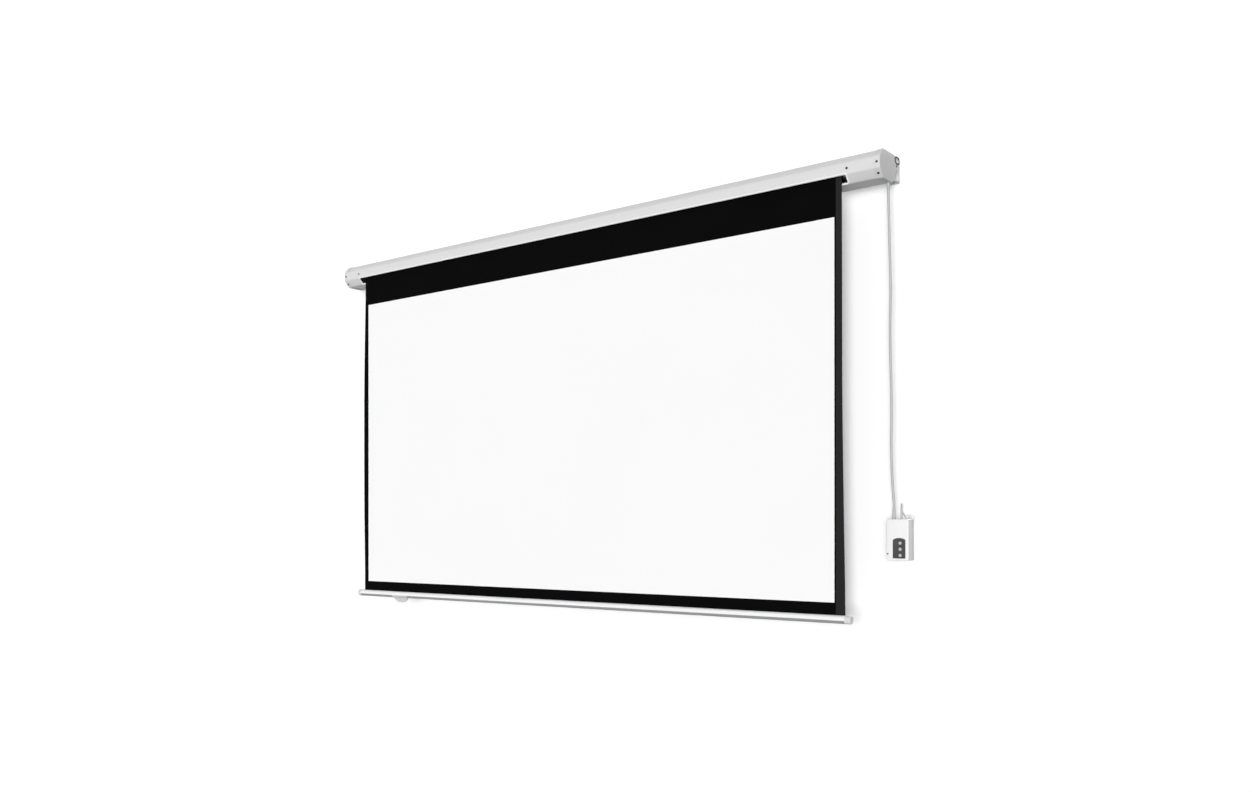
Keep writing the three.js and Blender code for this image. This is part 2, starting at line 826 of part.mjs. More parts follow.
function idlerBush() {
  const outer = pinRadius + bushWall;
  const from = -plateX - plateThickness - bushFlange;
  const to = -plateX + bushFlange;
  const bore = pinRadius + fit;
  return turnedX([
    [bore, from],
    [outer, from],
    [outer, -plateX + fit],
    [outer + bushFlange, -plateX + fit],
    [outer + bushFlange, to],
    [bore, to],
    [bore, from],
  ], rollerY, 0);
}

// Screen cloth and bottom bar

function cloth() {
  const half = clothWidth / 2;
  const skin = clothThickness / 2;
  return block(-half, half, clothY - skin, clothY + skin, clothEndZ, -fit);
}

function viewingCoat() {
  const back = clothY - clothThickness / 2 - fit;
  const top = -viewTopBelowAxis;
  return block(-viewWidth / 2, viewWidth / 2, back - coatThickness, back, top - viewHeight, top);
}

function bottomBar() {
  const inner = barRadius - barWall;
  const tube = tubeAlongX(barRadius, inner, -barHalfLength, barHalfLength, clothY, barZ);
  const reach = barHalfLength + overrun;
  const top = barZ + barRadius + overrun;
  const slot = block(-reach, reach, clothY - slotEdge, clothY + slotEdge, barZ, top);
  return cut(tube, slot);
}

// The strip that grips the cloth's hem. It bears up against the slot's edges inside the bar.
function hemSpline() {
  const half = clothWidth / 2;
  const top = splineZ + splineRadius;
  const rod = rodAlongX(splineRadius, -half, half, clothY, splineZ, screwSides * 2);
  const mouth = clothThickness / 2 + fit;
  const reach = half + overrun;
  const foot = top - splineMouth;
  const slit = block(-reach, reach, clothY - mouth, clothY + mouth, foot, top + overrun);
  return cut(rod, slit);
}

function barCap(side) {
  const rim = barRadius + barCapRim;
  const plug = barRadius - barWall - fit;
  const start = barHalfLength + fit;
  const end = barHalfLength + barCapLength;
  const profile = [
    [0, start - barCapPlug],
    [plug, start - barCapPlug],
    [plug, start],
    [rim, start],
    ...barCapShares.map(([out, back]) => [rim * out, end - rim * back]),
  ];
  const cap = turnedX(profile, 0, 0);
  if (side < 0) cap.rotateZ(Math.PI);
  cap.translate(0, clothY, barZ);
  const reach = end + overrun;
  const keyway = slotEdge + fit;
  const foot = barZ + splineRadius;
  const key = block(-reach, reach, clothY - keyway, clothY + keyway, foot, barZ + barRadius);
  return cut(cap, common(key, rodAlongX(plug + fit, -start, start, clothY, barZ)));
}

// A half-round tab riveted under the bar, with a saddle that follows the bar's round
function pullTab() {
  const top = barZ - barRadius - fit;
  const shape = new THREE.Shape();
  shape.moveTo(tabCentre + tabLength / 2, top);
  shape.absellipse(tabCentre, top, tabLength / 2, tabDrop, 0, Math.PI, true);
  shape.lineTo(tabCentre - tabLength / 2, top + barRadius);
  shape.lineTo(tabCentre + tabLength / 2, top + barRadius);
  shape.closePath();
  const plate = towardsFront(shape, clothY + tabThickness / 2, tabThickness, 0, bendSteps * 3);
  const from = tabCentre - tabLength / 2;
  const to = tabCentre + tabLength / 2;
  const reach = 2 * barRadius;
  const above = [clothY - reach, clothY + reach, barZ - barRadius / 2, barZ + reach];
  const saddle = cut(
    rodAlongX(barRadius + fit + tabSaddle, from, to, clothY, barZ),
    block(from - overrun, to + overrun, ...above),
  );
  const seat = rodAlongX(barRadius + fit, from - overrun, to + overrun, clothY, barZ);
  return cut(join(plate, saddle), seat);
}

// Motor lead

function cableGland() {
  const bore = leadRadius + fit;
  const shellInner = -halfHeight + sheet;
  const capOuter = -halfHeight - fit - capWall;
  const tip = capOuter - glandLength;
  const profile = [
    [bore, shellInner + glandInside],
    [glandFlangeRadius, shellInner + glandInside],
    [glandFlangeRadius, shellInner + fit],
    [glandNeckRadius, shellInner + fit],
    [glandNeckRadius, capOuter - fit],
    [glandFlangeRadius, capOuter - fit],
    [glandFlangeRadius, capOuter - glandFlange],
    [glandTipRadius, tip],
    [bore, tip],
    [bore, shellInner + glandInside],
  ].reverse();
  return turnedAbout(profile, new THREE.Vector3(glandX, glandY, 0), unitZ, screwSides * 2);
}

// Centre line of the motor lead, from the motor's head through the gland to the control box.
// Each point's x is measured from the housing's motor end.
const leadRoute = [
  [-82, -96.45, 0],
  [-64, -94.95, 0.6],
  [-45, -80, 0],
  [-28.5, -72.8, -5],
  [-16.2, -69, -17],
  [-10.5, -68, -34],
  [-10.5, -68, -48],
  [-10.5, -68, -60],
  [-10.5, -68, -72],
  [-9.4, -67.8, -130],
  [-7, -67.6, -230],
  [-4.5, -67.4, -330],
  [-3.5, -67, -400],
  [-5.4, -66.6, -490],
  [-4.8, -66, -590],
  [-2.3, -65, -700],
  [-2, -63.8, -790],
  [-3.4, -61.8, -880],
  [-3, -58.6, -960],
  [-0.4, -55.4, -1030],
  [1.5, -52, -1070],
];
const leadPoints = [
  new THREE.Vector3(headTo - headLeadReach + fit, headLeadY, headLeadZ),
  ...leadRoute.map(([x, y, z]) => new THREE.Vector3(motorEndSpan + x, y, z)),
  new THREE.Vector3(motorBootX, bootY, boxTopZ + motorBootLength + fit),
];

function tubeAlong(curve, radius, sides) {
  const steps = Math.ceil(curve.getLength() / (2 * radius * cordStepDiameters));
  const ring = Array.from({ length: sides }, (_, i) => {
    const angle = (i + 0.5) * 2 * Math.PI / sides;
    return new THREE.Vector2(radius * Math.cos(angle), radius * Math.sin(angle));
  });
  return new THREE.ExtrudeGeometry(new THREE.Shape(ring), { steps, extrudePath: curve, bevelEnabled: false });
}

function smoothLine(points) {
  const curve = new THREE.CatmullRomCurve3(points, false, 'centripetal');
  curve.arcLengthDivisions = curveDivisions;
  return curve;
}

// Control box

function boxOutline(shrink) {
  const halfWidth = boxWidth / 2 - shrink;
  const half = boxHeight / 2 - shrink;
  return rounded(
    rectangle(boxMiddleX - halfWidth, boxMiddleX + halfWidth, boxMiddleZ - half, boxMiddleZ + half),
    boxCorner,
  );
}

const boots = [
  {
    name: 'motor',
    x: motorBootX,
    base: motorBootRadius,
    tip: motorBootTipRadius,
    length: motorBootLength,
    cord: leadRadius,
  },
  {
    name: 'mains',
    x: mainsBootX,
    base: mainsBootRadius,
    tip: mainsBootTipRadius,
    length: mainsBootLength,
    cord: mainsRadius,
  },
];

// Each boot's neck goes through the box's top, and its flange has a pocket below the top
function bootHoles() {
  return boots.flatMap(({ x, base }) => {
    const at = (height) => new THREE.Vector3(x, bootY, boxTopZ + height);
    const neck = base * bootNeckShare;
    const flange = neck + boxWall + fit;
    const pocketFoot = -boxWall - bootNeck - overrun;
    return [
      rodBetween(neck + fit, at(pocketFoot), at(overrun), screwSides * 2),
      rodBetween(flange, at(pocketFoot), at(-boxWall), screwSides * 2),
    ];
  });
}

const keypadRight = boxMiddleX + boxWidth / 2 - keypadFromRight;
const keypadMiddleX = keypadRight - keypadWidth / 2;
const keypadBottom = boxMiddleZ - boxHeight / 2 + keypadFromBottom;

// Straight sides and foot, and an arched top
function keypadOutline(grow) {
  const half = keypadWidth / 2 + grow;
  const foot = keypadBottom - grow;
  const shoulder = keypadBottom + keypadHeight - keypadArch + grow;
  const arcRadius = (half * half + keypadArch * keypadArch) / (2 * keypadArch);
  const sweep = Math.asin(half / arcRadius);
  const arcZ = shoulder + keypadArch - arcRadius;
  const shape = new THREE.Shape();
  shape.moveTo(keypadMiddleX - half, foot);
  shape.lineTo(keypadMiddleX + half, foot);
  shape.lineTo(keypadMiddleX + half, shoulder);
  shape.absarc(keypadMiddleX, arcZ, arcRadius, Math.PI / 2 - sweep, Math.PI / 2 + sweep, false);
  shape.closePath();
  return shape;
}

const buttonX = keypadMiddleX + buttonOffset;
const buttonMiddleZ = keypadBottom + (keypadHeight - keypadArch) / 2 - fit;
const buttons = ['up', 'stop', 'down'].map((name, i) => ({ name, z: buttonMiddleZ + (1 - i) * buttonPitch }));

function buttonHoles(radius) {
  return buttons.map(({ z }) => {
    const from = new THREE.Vector3(buttonX, boxFrontY - overrun, z);
    const to = new THREE.Vector3(buttonX, boxFrontY + 2 * overrun, z);
    return rodBetween(radius, from, to, screwSides * 2);
  });
}

function boxFront() {
  const depth = boxSplitY - boxFrontY;
  const solid = towardsFront(boxOutline(0), boxSplitY, depth, boxEdge);
  const hollow = towardsFront(boxOutline(boxWall), boxSplitY + overrun, depth + overrun - boxWall);
  const seat = towardsFront(keypadOutline(fit), boxFrontY + keypadRecess, keypadRecess + overrun);
  const window = towardsFront(keypadOutline(-keypadLedge), boxFrontY + depth / 2, depth);
  return cut(solid, hollow, seat, window, ...bootHoles(), caseScrewHole());
}

function boxBack() {
  const depth = boxSplit - fit;
  const solid = towardsFront(boxOutline(0), boxBackY, depth);
  const hollow = towardsFront(boxOutline(boxWall), boxBackY - boxWall, depth);
  const lipOutline = boxOutline(boxWall + fit);
  lipOutline.holes.push(new THREE.Path(boxOutline(2 * boxWall + fit).getPoints(bendSteps)));
  const lip = towardsFront(lipOutline, boxBackY - boxWall - overrun, depth - boxWall - overrun + lipOverlap);
  const rim = towardsFront(lipRim(), boxBackY - boxWall, boxWall * 2);
  return cut(join(cut(solid, hollow), lip, rim, lug(), ...bosses()), ...bootHoles());
}

// A ledge that ties the lip to the back's floor
function lipRim() {
  const outline = boxOutline(boxWall / 2);
  outline.holes.push(new THREE.Path(boxOutline(2 * boxWall + fit).getPoints(bendSteps)));
  return outline;
}

// The hanging ear at the top corner of the back
function lug() {
  const x = boxMiddleX + boxWidth / 2 - lugFromEdge;
  const z = boxTopZ + lugRise;
  const shape = new THREE.Shape();
  shape.moveTo(x + lugRadius, z);
  shape.absarc(x, z, lugRadius, 0, Math.PI, false);
  shape.lineTo(x - lugRadius, z - lugRise - boxCorner * 2);
  shape.lineTo(x + boxCorner, z - lugRise - boxCorner * 2);
  shape.closePath();
  shape.holes.push(circlePath(x, z + lugRise / 2, lugHoleRadius));
  return towardsFront(shape, boxBackY, lugThickness, 0, bendSteps * 2);
}

function boardCorners() {
  const halfX = boxWidth / 2 - boxWall - boardMargin - bossRadius;
  const halfZ = boxHeight / 2 - boxWall - boardMargin * 2 - bossRadius;
  return [[-1, -1], [1, -1], [1, 1], [-1, 1]].map(([sx, sz]) =>
    new THREE.Vector3(boxMiddleX + sx * halfX, 0, boxMiddleZ + sz * halfZ));
}

function bosses() {
  const top = boardFrontY + boardThickness + fit;
  return boardCorners().map((corner) => rodBetween(
    bossRadius,
    corner.clone().setY(boxBackY - boxWall / 2),
    corner.clone().setY(top),
    screwSides,
  ));
}

function circuitBoard() {
  const inset = boxWall * 2 + 2 * fit + boardSideGap;
  const halfWidth = boxWidth / 2 - inset;
  const low = boxMiddleZ - boxHeight / 2 + inset;
  const high = boxTopZ - boardMargin * 3;
  const boardY = [boardFrontY, boardFrontY + boardThickness];
  const board = block(boxMiddleX - halfWidth, boxMiddleX + halfWidth, ...boardY, low, high);
  const half = switchSide / 2;
  const switchY = [boardFrontY - switchHeight, boardFrontY + boardThickness / 2];
  const switches = buttons.map(({ z }) =>
    block(buttonX - half, buttonX + half, ...switchY, z - half, z + half));
  return join(board, ...switches);
}

function onBoard([width, depth, height], x, z) {
  const back = boardFrontY - fit;
  return block(x - width / 2, x + width / 2, back - depth, back, z - height / 2, z + height / 2);
}

function keypad() {
  const backY = boxFrontY + keypadRecess - fit;
  const plate = towardsFront(keypadOutline(0), backY, keypadThickness, 0, bendSteps * 4);
  return cut(plate, ...buttonHoles(buttonRadius + fit));
}

// A button: a domed cap with a flange behind the keypad and a stem over its switch
function button({ z }) {
  const plateBack = keypadRecess - fit;
  const flangeFront = -(plateBack + fit);
  const stemEnd = -(boardFromFront - switchHeight - buttonTravel - fit);
  const crown = keypadThickness - plateBack + buttonProud;
  const profile = [
    [0, stemEnd],
    [buttonStemRadius, stemEnd],
    [buttonStemRadius, flangeFront - buttonFlange],
    [buttonRadius + buttonFlangeWidth, flangeFront - buttonFlange],
    [buttonRadius + buttonFlangeWidth, flangeFront],
    [buttonRadius, flangeFront],
    ...buttonCrownShares.map(([out, up]) => [buttonRadius * out, crown * up]),
  ];
  return turnedAbout(profile, new THREE.Vector3(buttonX, boxFrontY, z), frontward, screwSides * 2);
}

function caseScrewSeat() {
  const x = boxMiddleX - boxWidth / 2 + caseScrewFromLeft;
  const z = boxMiddleZ - boxHeight / 2 + caseScrewFromBottom;
  return new THREE.Vector3(x, boxFrontY - fit, z);
}

function caseScrew() {
  const half = caseScrewRadius / 2;
  return panScrew(caseScrewSeat(), frontward, boxWall * 2, caseScrewRadius, half, half);
}

function caseScrewHole() {
  return screwHole(caseScrewSeat(), frontward, caseScrewRadius / 2 + fit);
}

// A boot on the lead: a tapered, ribbed sleeve that stands in the top of the box
function boot({ x, base, tip, length, cord }) {
  const bore = cord + fit;
  const neck = base * bootNeckShare;
  const ribStep = length / (2 * bootRibs + 2);
  const ribs = Array.from({ length: 2 * bootRibs }, (_, i) => {
    const height = bootNeck + (i + 1) * ribStep;
    const radius = THREE.MathUtils.lerp(base, tip, height / length);
    return [i % 2 === 0 ? radius : radius - bootRibDepth, height];
  });
  const profile = [
    [bore, -boxWall - bootNeck],
    [neck + boxWall, -boxWall - bootNeck],
    [neck + boxWall, -boxWall - fit],
    [neck, -boxWall - fit],
    [neck, fit],
    [base, fit],
    [base, bootNeck],
    ...ribs,
    [tip, length],
    [bore, length],
    [bore, -boxWall - bootNeck],
  ];
  return turnedAbout(profile, new THREE.Vector3(x, bootY, boxTopZ), unitZ, screwSides * 2);
}

// Mains lead. Its free stretch rises from the box, turns over and comes down behind it.
const hankBackY = -hankFromWall - mainsRadius;
const hankFrontY = hankBackY - layerStep;
const hankMiddleZ = boxMiddleZ;
const outerLoop = foldRadius + loopStep * reverseTurn;
const mainsTop = boxTopZ + mainsBootLength + fit;
const riseZ = mainsTop + 2 * mainsRadius;
const turnMiddle = new THREE.Vector3((mainsBootX + returnX) / 2, (bootY - returnFromWall) / 2, riseZ);
const turnOut = new THREE.Vector3(mainsBootX, bootY, riseZ).sub(turnMiddle);
const entryAngle = THREE.MathUtils.degToRad(hankEntryDegrees);

function overTheTop(steps) {
  return Array.from({ length: steps + 1 }, (_, i) => {
    const angle = Math.PI * i / steps;
    return turnMiddle.clone()
      .addScaledVector(turnOut, Math.cos(angle))
      .addScaledVector(unitZ, turnOut.length() * Math.sin(angle));
  });
}

function mainsPoints() {
  const start = new THREE.Vector3(mainsBootX, bootY, mainsTop);
  const entry = hankPoints()[0];
  const heading = hankPoints()[1].clone().sub(entry).normalize();
  const before = entry.clone().addScaledVector(heading, -2 * mainsRadius * bendSteps);
  const end = entry.clone().addScaledVector(heading, -fit);
  return [start, ...overTheTop(foldSteps), before, end];
}

// The waist: how far the runs are drawn in at a height from the hank's middle
function drawn(height) {
  return waistDraw * Math.cos(Math.PI * height / runLength) ** 2;
}

// The hank's turns: each goes down the right run, round the foot, up the left run and over the head.
// The loops close in over the back layer, climb along a run and open out again over the front layer.
function loopRadius(turn) {
  return foldRadius + loopStep * Math.abs(reverseTurn - turn);
}

function loopY(turn) {
  const share = THREE.MathUtils.clamp((turn - loopsPerLayer) / climbTurns, 0, 1);
  return THREE.MathUtils.lerp(hankBackY, hankFrontY, THREE.MathUtils.smoothstep(share, 0, 1));
}

function hankPoint(turn) {
  const quarter = (turn % 1) * 4;
  const stage = Math.floor(quarter + turnSlack);
  const share = quarter - stage;
  const radius = loopRadius(turn);
  const half = runLength / 2;
  let x;
  let z;
  if (stage === 0 || stage === 2) {
    const height = half - share * runLength;
    z = stage === 0 ? height : -height;
    x = (stage === 0 ? 1 : -1) * (radius - drawn(height));
  } else {
    const angle = Math.PI * share;
    const side = stage === 1 ? 1 : -1;
    x = side * radius * Math.cos(angle);
    z = -side * (half + radius * Math.sin(angle));
  }
  return new THREE.Vector3(hankMiddleX + x, loopY(turn), hankMiddleZ + z);
}

function turnsOfLoop(loop) {
  const run = Array.from({ length: runSteps }, (_, i) => i / runSteps / 4);
  const fold = Array.from({ length: foldSteps }, (_, i) => (1 + i / foldSteps) / 4);
  const half = [...run, ...fold];
  return [...half, ...half.map((turn) => turn + 0.5)].map((turn) => loop + turn);
}

// The tail leaves the front layer at the top of a left run and turns over to the plug that lies on the hank
const tieFrontY = hankFrontY - mainsRadius - fit - tieThickness;
const plugY = tieFrontY - fit - plugBodyThickness / 2;
const plugX = hankMiddleX - loopRadius(2 * loopsPerLayer - 0.25) + 2 * tailRadius;
const tailZ = hankMiddleZ + runLength / 2;

function tailPoints() {
  const turn = Array.from({ length: foldSteps + 1 }, (_, i) => {
    const angle = Math.PI * i / foldSteps;
    const share = THREE.MathUtils.lerp(tailStartShare, 1, i / foldSteps);
    const x = plugX - tailRadius - tailRadius * Math.cos(angle);
    const y = THREE.MathUtils.lerp(hankFrontY, plugY, THREE.MathUtils.smoothstep(share, 0, 1));
    return new THREE.Vector3(x, y, tailZ + tailRadius * Math.sin(angle));
  });
  return [...turn, new THREE.Vector3(plugX, plugY, tailZ - tailLeadIn + fit)];
}

function hankPoints() {
  const half = runLength / 2;
  const lead = [1, 0.5].map((share) => {
    const angle = entryAngle * share;
    return new THREE.Vector3(
      hankMiddleX + outerLoop * Math.cos(angle),
      hankBackY,
      hankMiddleZ + half + outerLoop * Math.sin(angle),
    );
  });
  const loops = Array.from({ length: 2 * loopsPerLayer }, (_, i) => turnsOfLoop(i)).flat();
  const last = 2 * loopsPerLayer - 0.25;
  const wound = loops.filter((turn) => turn < last - turnSlack).map(hankPoint);
  wound.slice(-climbSteps).forEach((point, i) => {
    const share = tailStartShare * (i + 1) / (climbSteps + 1);
    point.y = THREE.MathUtils.lerp(hankFrontY, plugY, THREE.MathUtils.smoothstep(share, 0, 1));
  });
  return [...lead, ...wound, ...tailPoints()];
}

// The least distance between the cord's surface and itself, over stretches that aren't neighbours
function leastGap(points, radius) {
  const samples = smoothLine(points).getSpacedPoints(points.length * gapSamples);
  const spacing = samples[0].distanceTo(samples[1]);
  const skip = Math.ceil((Math.PI * foldRadius) / spacing);
  let least = Infinity;
  samples.forEach((point, i) => {
    for (let j = i + skip; j < samples.length; j += 1) {
      least = Math.min(least, point.distanceTo(samples[j]));
    }
  });
  return least - 2 * radius;
}

// A tube of one ring at each point, closed by a fan at both ends
function woundTube(points, radius, sides) {
  const positions = [];
  const index = [];
  let normal = unitY.clone();
  points.forEach((point, i) => {
    const before = points[Math.max(i - 1, 0)];
    const after = points[Math.min(i + 1, points.length - 1)];
    const tangent = after.clone().sub(before).normalize();
    normal = normal.clone().addScaledVector(tangent, -normal.dot(tangent)).normalize();
    const across = tangent.clone().cross(normal);
    for (let k = 0; k < sides; k += 1) {
      const angle = 2 * Math.PI * k / sides;
      const ring = point.clone()
        .addScaledVector(normal, radius * Math.cos(angle))
        .addScaledVector(across, radius * Math.sin(angle));
      positions.push(ring.x, ring.y, ring.z);
    }
  });
  const rings = points.length;
  for (let i = 0; i + 1 < rings; i += 1) {
    for (let k = 0; k < sides; k += 1) {
      const next = (k + 1) % sides;
      const [a, b, c, d] = [i * sides + k, i * sides + next, (i + 1) * sides + next, (i + 1) * sides + k];
      index.push(a, b, c, a, c, d);
    }
  }
  for (let k = 1; k + 1 < sides; k += 1) {
    index.push(0, k + 1, k);
    index.push((rings - 1) * sides, (rings - 1) * sides + k, (rings - 1) * sides + k + 1);
  }
  const geometry = new THREE.BufferGeometry();
  geometry.setAttribute('position', new THREE.Float32BufferAttribute(positions, 3));
  geometry.setIndex(index);
  geometry.computeVertexNormals();
  return geometry;
}

// A flat band round the waist
function hankTie() {
  const waist = drawn(0);
  const right = hankMiddleX + outerLoop - waist + mainsRadius + 2 * fit;
  const left = hankMiddleX - outerLoop + waist + loopStep / 2 - mainsRadius - 2 * fit;
  const back = hankBackY + mainsRadius + fit;
  const front = hankFrontY - mainsRadius - fit;
  const outline = (grow, target) => {
    const corners = rectangle(left - grow, right + grow, front - grow, back + grow);
    return rounded(corners, mainsRadius, target);
  };
  const shape = outline(tieThickness, new THREE.Shape());
  shape.holes.push(outline(0, new THREE.Path()));
  const settings = { depth: tieWidth, bevelEnabled: false, curveSegments: bendSteps };
  const band = new THREE.ExtrudeGeometry(shape, settings);
  return band.translate(0, 0, hankMiddleZ - tieWidth / 2);
}

const plugTopZ = tailZ - tailLeadIn;
const plugBodyTopZ = plugTopZ - plugBootLength;

// A flat two-pin plug: a rounded, tapered body with a boot
function plugBody() {
  const half = plugBodyWidth / 2;
  const foot = plugBodyTopZ - plugBodyLength;
  const shoulder = foot + plugBodyLength * plugShoulderShare;
  const neck = half * plugNeckShare;
  const corners = [
    [plugX - half, foot],
    [plugX + half, foot],
    [plugX + half, shoulder],
    [plugX + neck, plugBodyTopZ],
    [plugX - neck, plugBodyTopZ],
    [plugX - half, shoulder],
  ].map(([x, z]) => new THREE.Vector2(x, z));
  const back = plugY + plugBodyThickness / 2;
  const shape = rounded(corners, plugCorner);
  const edge = boxEdge;
  const bevel = { bevelThickness: edge, bevelSize: edge, bevelOffset: -edge, bevelSegments: 1 };
  const settings = { depth: plugBodyThickness - 2 * edge, curveSegments: bendSteps, ...bevel };
  const body = new THREE.ExtrudeGeometry(shape, settings);
  body.applyMatrix4(frontToPart).translate(0, back - edge, 0);
  const sleeve = turnedAbout([
    [0, -plugBootLength - overrun],
    [plugBootRadius, -plugBootLength - overrun],
    [mainsBootTipRadius, 0],
    [0, 0],
  ], new THREE.Vector3(plugX, plugY, plugTopZ), unitZ, screwSides);
  return join(body, sleeve);
}

function prong(side) {
  const x = plugX + side * prongPitch / 2;
  const from = new THREE.Vector3(x, plugY, plugBodyTopZ - plugBodyLength - fit);
  const profile = [
    [0, -prongLength],
    [prongRadius / 2, -prongLength],
    [prongRadius, -prongLength + prongRadius / 2],
    [prongRadius, 0],
    [0, 0],
  ];
  return turnedAbout(profile, from, unitZ, screwSides);
}

// Assembly

addNode('housing_shell', housingShell(), 'paint');
ends.forEach((end) => {
  addNode(`${end.name}_end_cap`, endCap(end), 'capPlastic');
  capScrewSeats(end).forEach(({ place, seat, outward }) => {
    addNode(`${end.name}_cap_screw_${place}`, panScrew(seat, outward), 'zinc');
  });
  addNode(`${end.name}_roller_plate`, rollerPlate(end), 'zinc');
  addNode(`${end.name}_plate_screw`, panScrew(plateScrewSeat(end), frontward), 'zinc');
  addNode(`${end.name}_wall_bracket`, wallBracket(end), 'paint');
  hangerSeats(end).forEach((seat, i) => {
    addNode(`${end.name}_hanger_screw_${i + 1}`, panScrew(seat, unitY), 'zinc');
  });
  [eyeRise, -eyeRise].forEach((z, i) => {
    addNode(`${end.name}_wall_screw_${i + 1}`, wallScrew(end, z), 'zinc');
  });
});

addNode('motor_tube', motorTube(), 'zinc');
addNode('motor_head', motorHead(), 'darkPlastic');
limitScrewPlaces().forEach((place, i) => {
  addNode(`limit_screw_${['up', 'down'][i]}`, limitScrew(place), i === 0 ? 'whitePlastic' : 'limitRed');
});
addNode('idler_bush', idlerBush(), 'darkPlastic');

addNode('roller_tube', rollerTube(), 'aluminium');
addNode('cloth_winding', clothWinding(), 'blackCloth');
addNode('motor_crown_ring', crownRing(), 'darkPlastic');
addNode('drive_wheel', driveWheel(), 'darkPlastic');
addNode('motor_shaft', motorShaft(), 'zinc');
addNode('idler_plug', idlerPlug(), 'greyPlastic');
addNode('idler_pin', idlerPin(), 'zinc');

addNode('screen_cloth', cloth(), 'blackCloth');
addNode('viewing_surface', viewingCoat(), 'whiteCoat');
addNode('bottom_bar', bottomBar(), 'paint');
addNode('hem_spline', hemSpline(), 'greyPlastic');
addNode('bar_cap_left', barCap(-1), 'greyPlastic');
addNode('bar_cap_right', barCap(1), 'greyPlastic');
addNode('pull_tab', pullTab(), 'greyPlastic');

addNode('cable_gland', cableGland(), 'greyPlastic');
addNode('motor_lead', tubeAlong(smoothLine(leadPoints), leadRadius, cordSides), 'cordJacket');

addNode('control_box_front', boxFront(), 'whitePlastic');
addNode('control_box_back', boxBack(), 'whitePlastic');
addNode('case_screw', caseScrew(), 'zinc');
addNode('keypad_panel', keypad(), 'darkPlastic');
buttons.forEach((each) => addNode(`button_${each.name}`, button(each), 'greyPlastic'));
addNode('circuit_board', circuitBoard(), 'board');
addNode('relay', onBoard(relaySize, boxMiddleX - boxWidth / 4, boxMiddleZ), 'darkPlastic');
addNode('terminal_block', onBoard(terminalSize, boxMiddleX, boxTopZ - boardMargin * 5), 'greyPlastic');
boots.forEach((each) => addNode(`${each.name}_boot`, boot(each), 'greyPlastic'));

addNode('mains_lead', tubeAlong(smoothLine(mainsPoints()), mainsRadius, cordSides), 'cordJacket');
addNode('mains_hank', woundTube(hankPoints(), mainsRadius, loopSides), 'cordJacket');
addNode('hank_tie', hankTie(), 'darkPlastic');
addNode('plug_body', plugBody(), 'whitePlastic');
addNode('plug_prong_left', prong(-1), 'brass');
addNode('plug_prong_right', prong(1), 'brass');

const lengthOf = (points) => smoothLine(points).getLength();
const turningRadius = windingOuter - clothThickness / 2;
console.log(`mains hank: least gap to itself ${leastGap(hankPoints(), mainsRadius).toFixed(2)} mm`);
console.log(`mains lead: ${(lengthOf(mainsPoints()) + lengthOf(hankPoints())).toFixed(0)} mm long`);
console.log(`motor lead: ${lengthOf(leadPoints).toFixed(0)} mm long`);
console.log(`screen travel ${screenTravel.toFixed(1)} mm, winding radius ${turningRadius.toFixed(2)} mm`);

// The origin is the idler bracket's face on the wall, at the roller's height
screen.position.x = idlerEndSpan - wallFlange / 2;

export default part;
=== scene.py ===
"""A motorized projector screen on a wall: its finishes, its soft pieces, the camera and the light.

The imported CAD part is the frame. Sizes here are in millimetres and turned to metres when a piece is made.
X runs along the screen, Y into the wall, Z up. The picture side faces -Y.
"""

import json
import math

import bmesh
import bpy
from mathutils import Matrix, Vector
from mathutils.geometry import tessellate_polygon


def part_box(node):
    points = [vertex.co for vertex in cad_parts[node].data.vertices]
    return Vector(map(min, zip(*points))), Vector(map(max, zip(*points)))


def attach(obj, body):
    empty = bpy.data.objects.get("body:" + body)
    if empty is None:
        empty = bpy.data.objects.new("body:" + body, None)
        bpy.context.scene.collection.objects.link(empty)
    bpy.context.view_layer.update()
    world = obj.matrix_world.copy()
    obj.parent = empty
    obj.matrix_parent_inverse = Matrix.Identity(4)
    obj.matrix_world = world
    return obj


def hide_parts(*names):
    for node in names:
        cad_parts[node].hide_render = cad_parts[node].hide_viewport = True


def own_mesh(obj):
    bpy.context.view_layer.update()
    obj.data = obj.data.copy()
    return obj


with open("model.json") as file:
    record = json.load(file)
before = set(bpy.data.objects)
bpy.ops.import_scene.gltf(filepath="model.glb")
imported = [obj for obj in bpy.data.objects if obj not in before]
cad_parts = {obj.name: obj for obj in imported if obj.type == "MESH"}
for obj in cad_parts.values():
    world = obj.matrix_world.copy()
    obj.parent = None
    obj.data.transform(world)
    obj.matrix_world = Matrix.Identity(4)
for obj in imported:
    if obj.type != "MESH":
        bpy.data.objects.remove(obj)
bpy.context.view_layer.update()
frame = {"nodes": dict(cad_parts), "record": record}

MM = 0.001


def node_corners(node):
    """The lowest and the highest corner of a CAD node, in millimetres to a hundredth."""
    return [[round(length / MM, 2) for length in corner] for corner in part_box(node)]


def node_middle(node):
    """The middle of a CAD node's box, in millimetres to a hundredth."""
    return [round((low + high) / 2, 2) for low, high in zip(*node_corners(node))]


# Places that the frame gives and that several pieces share

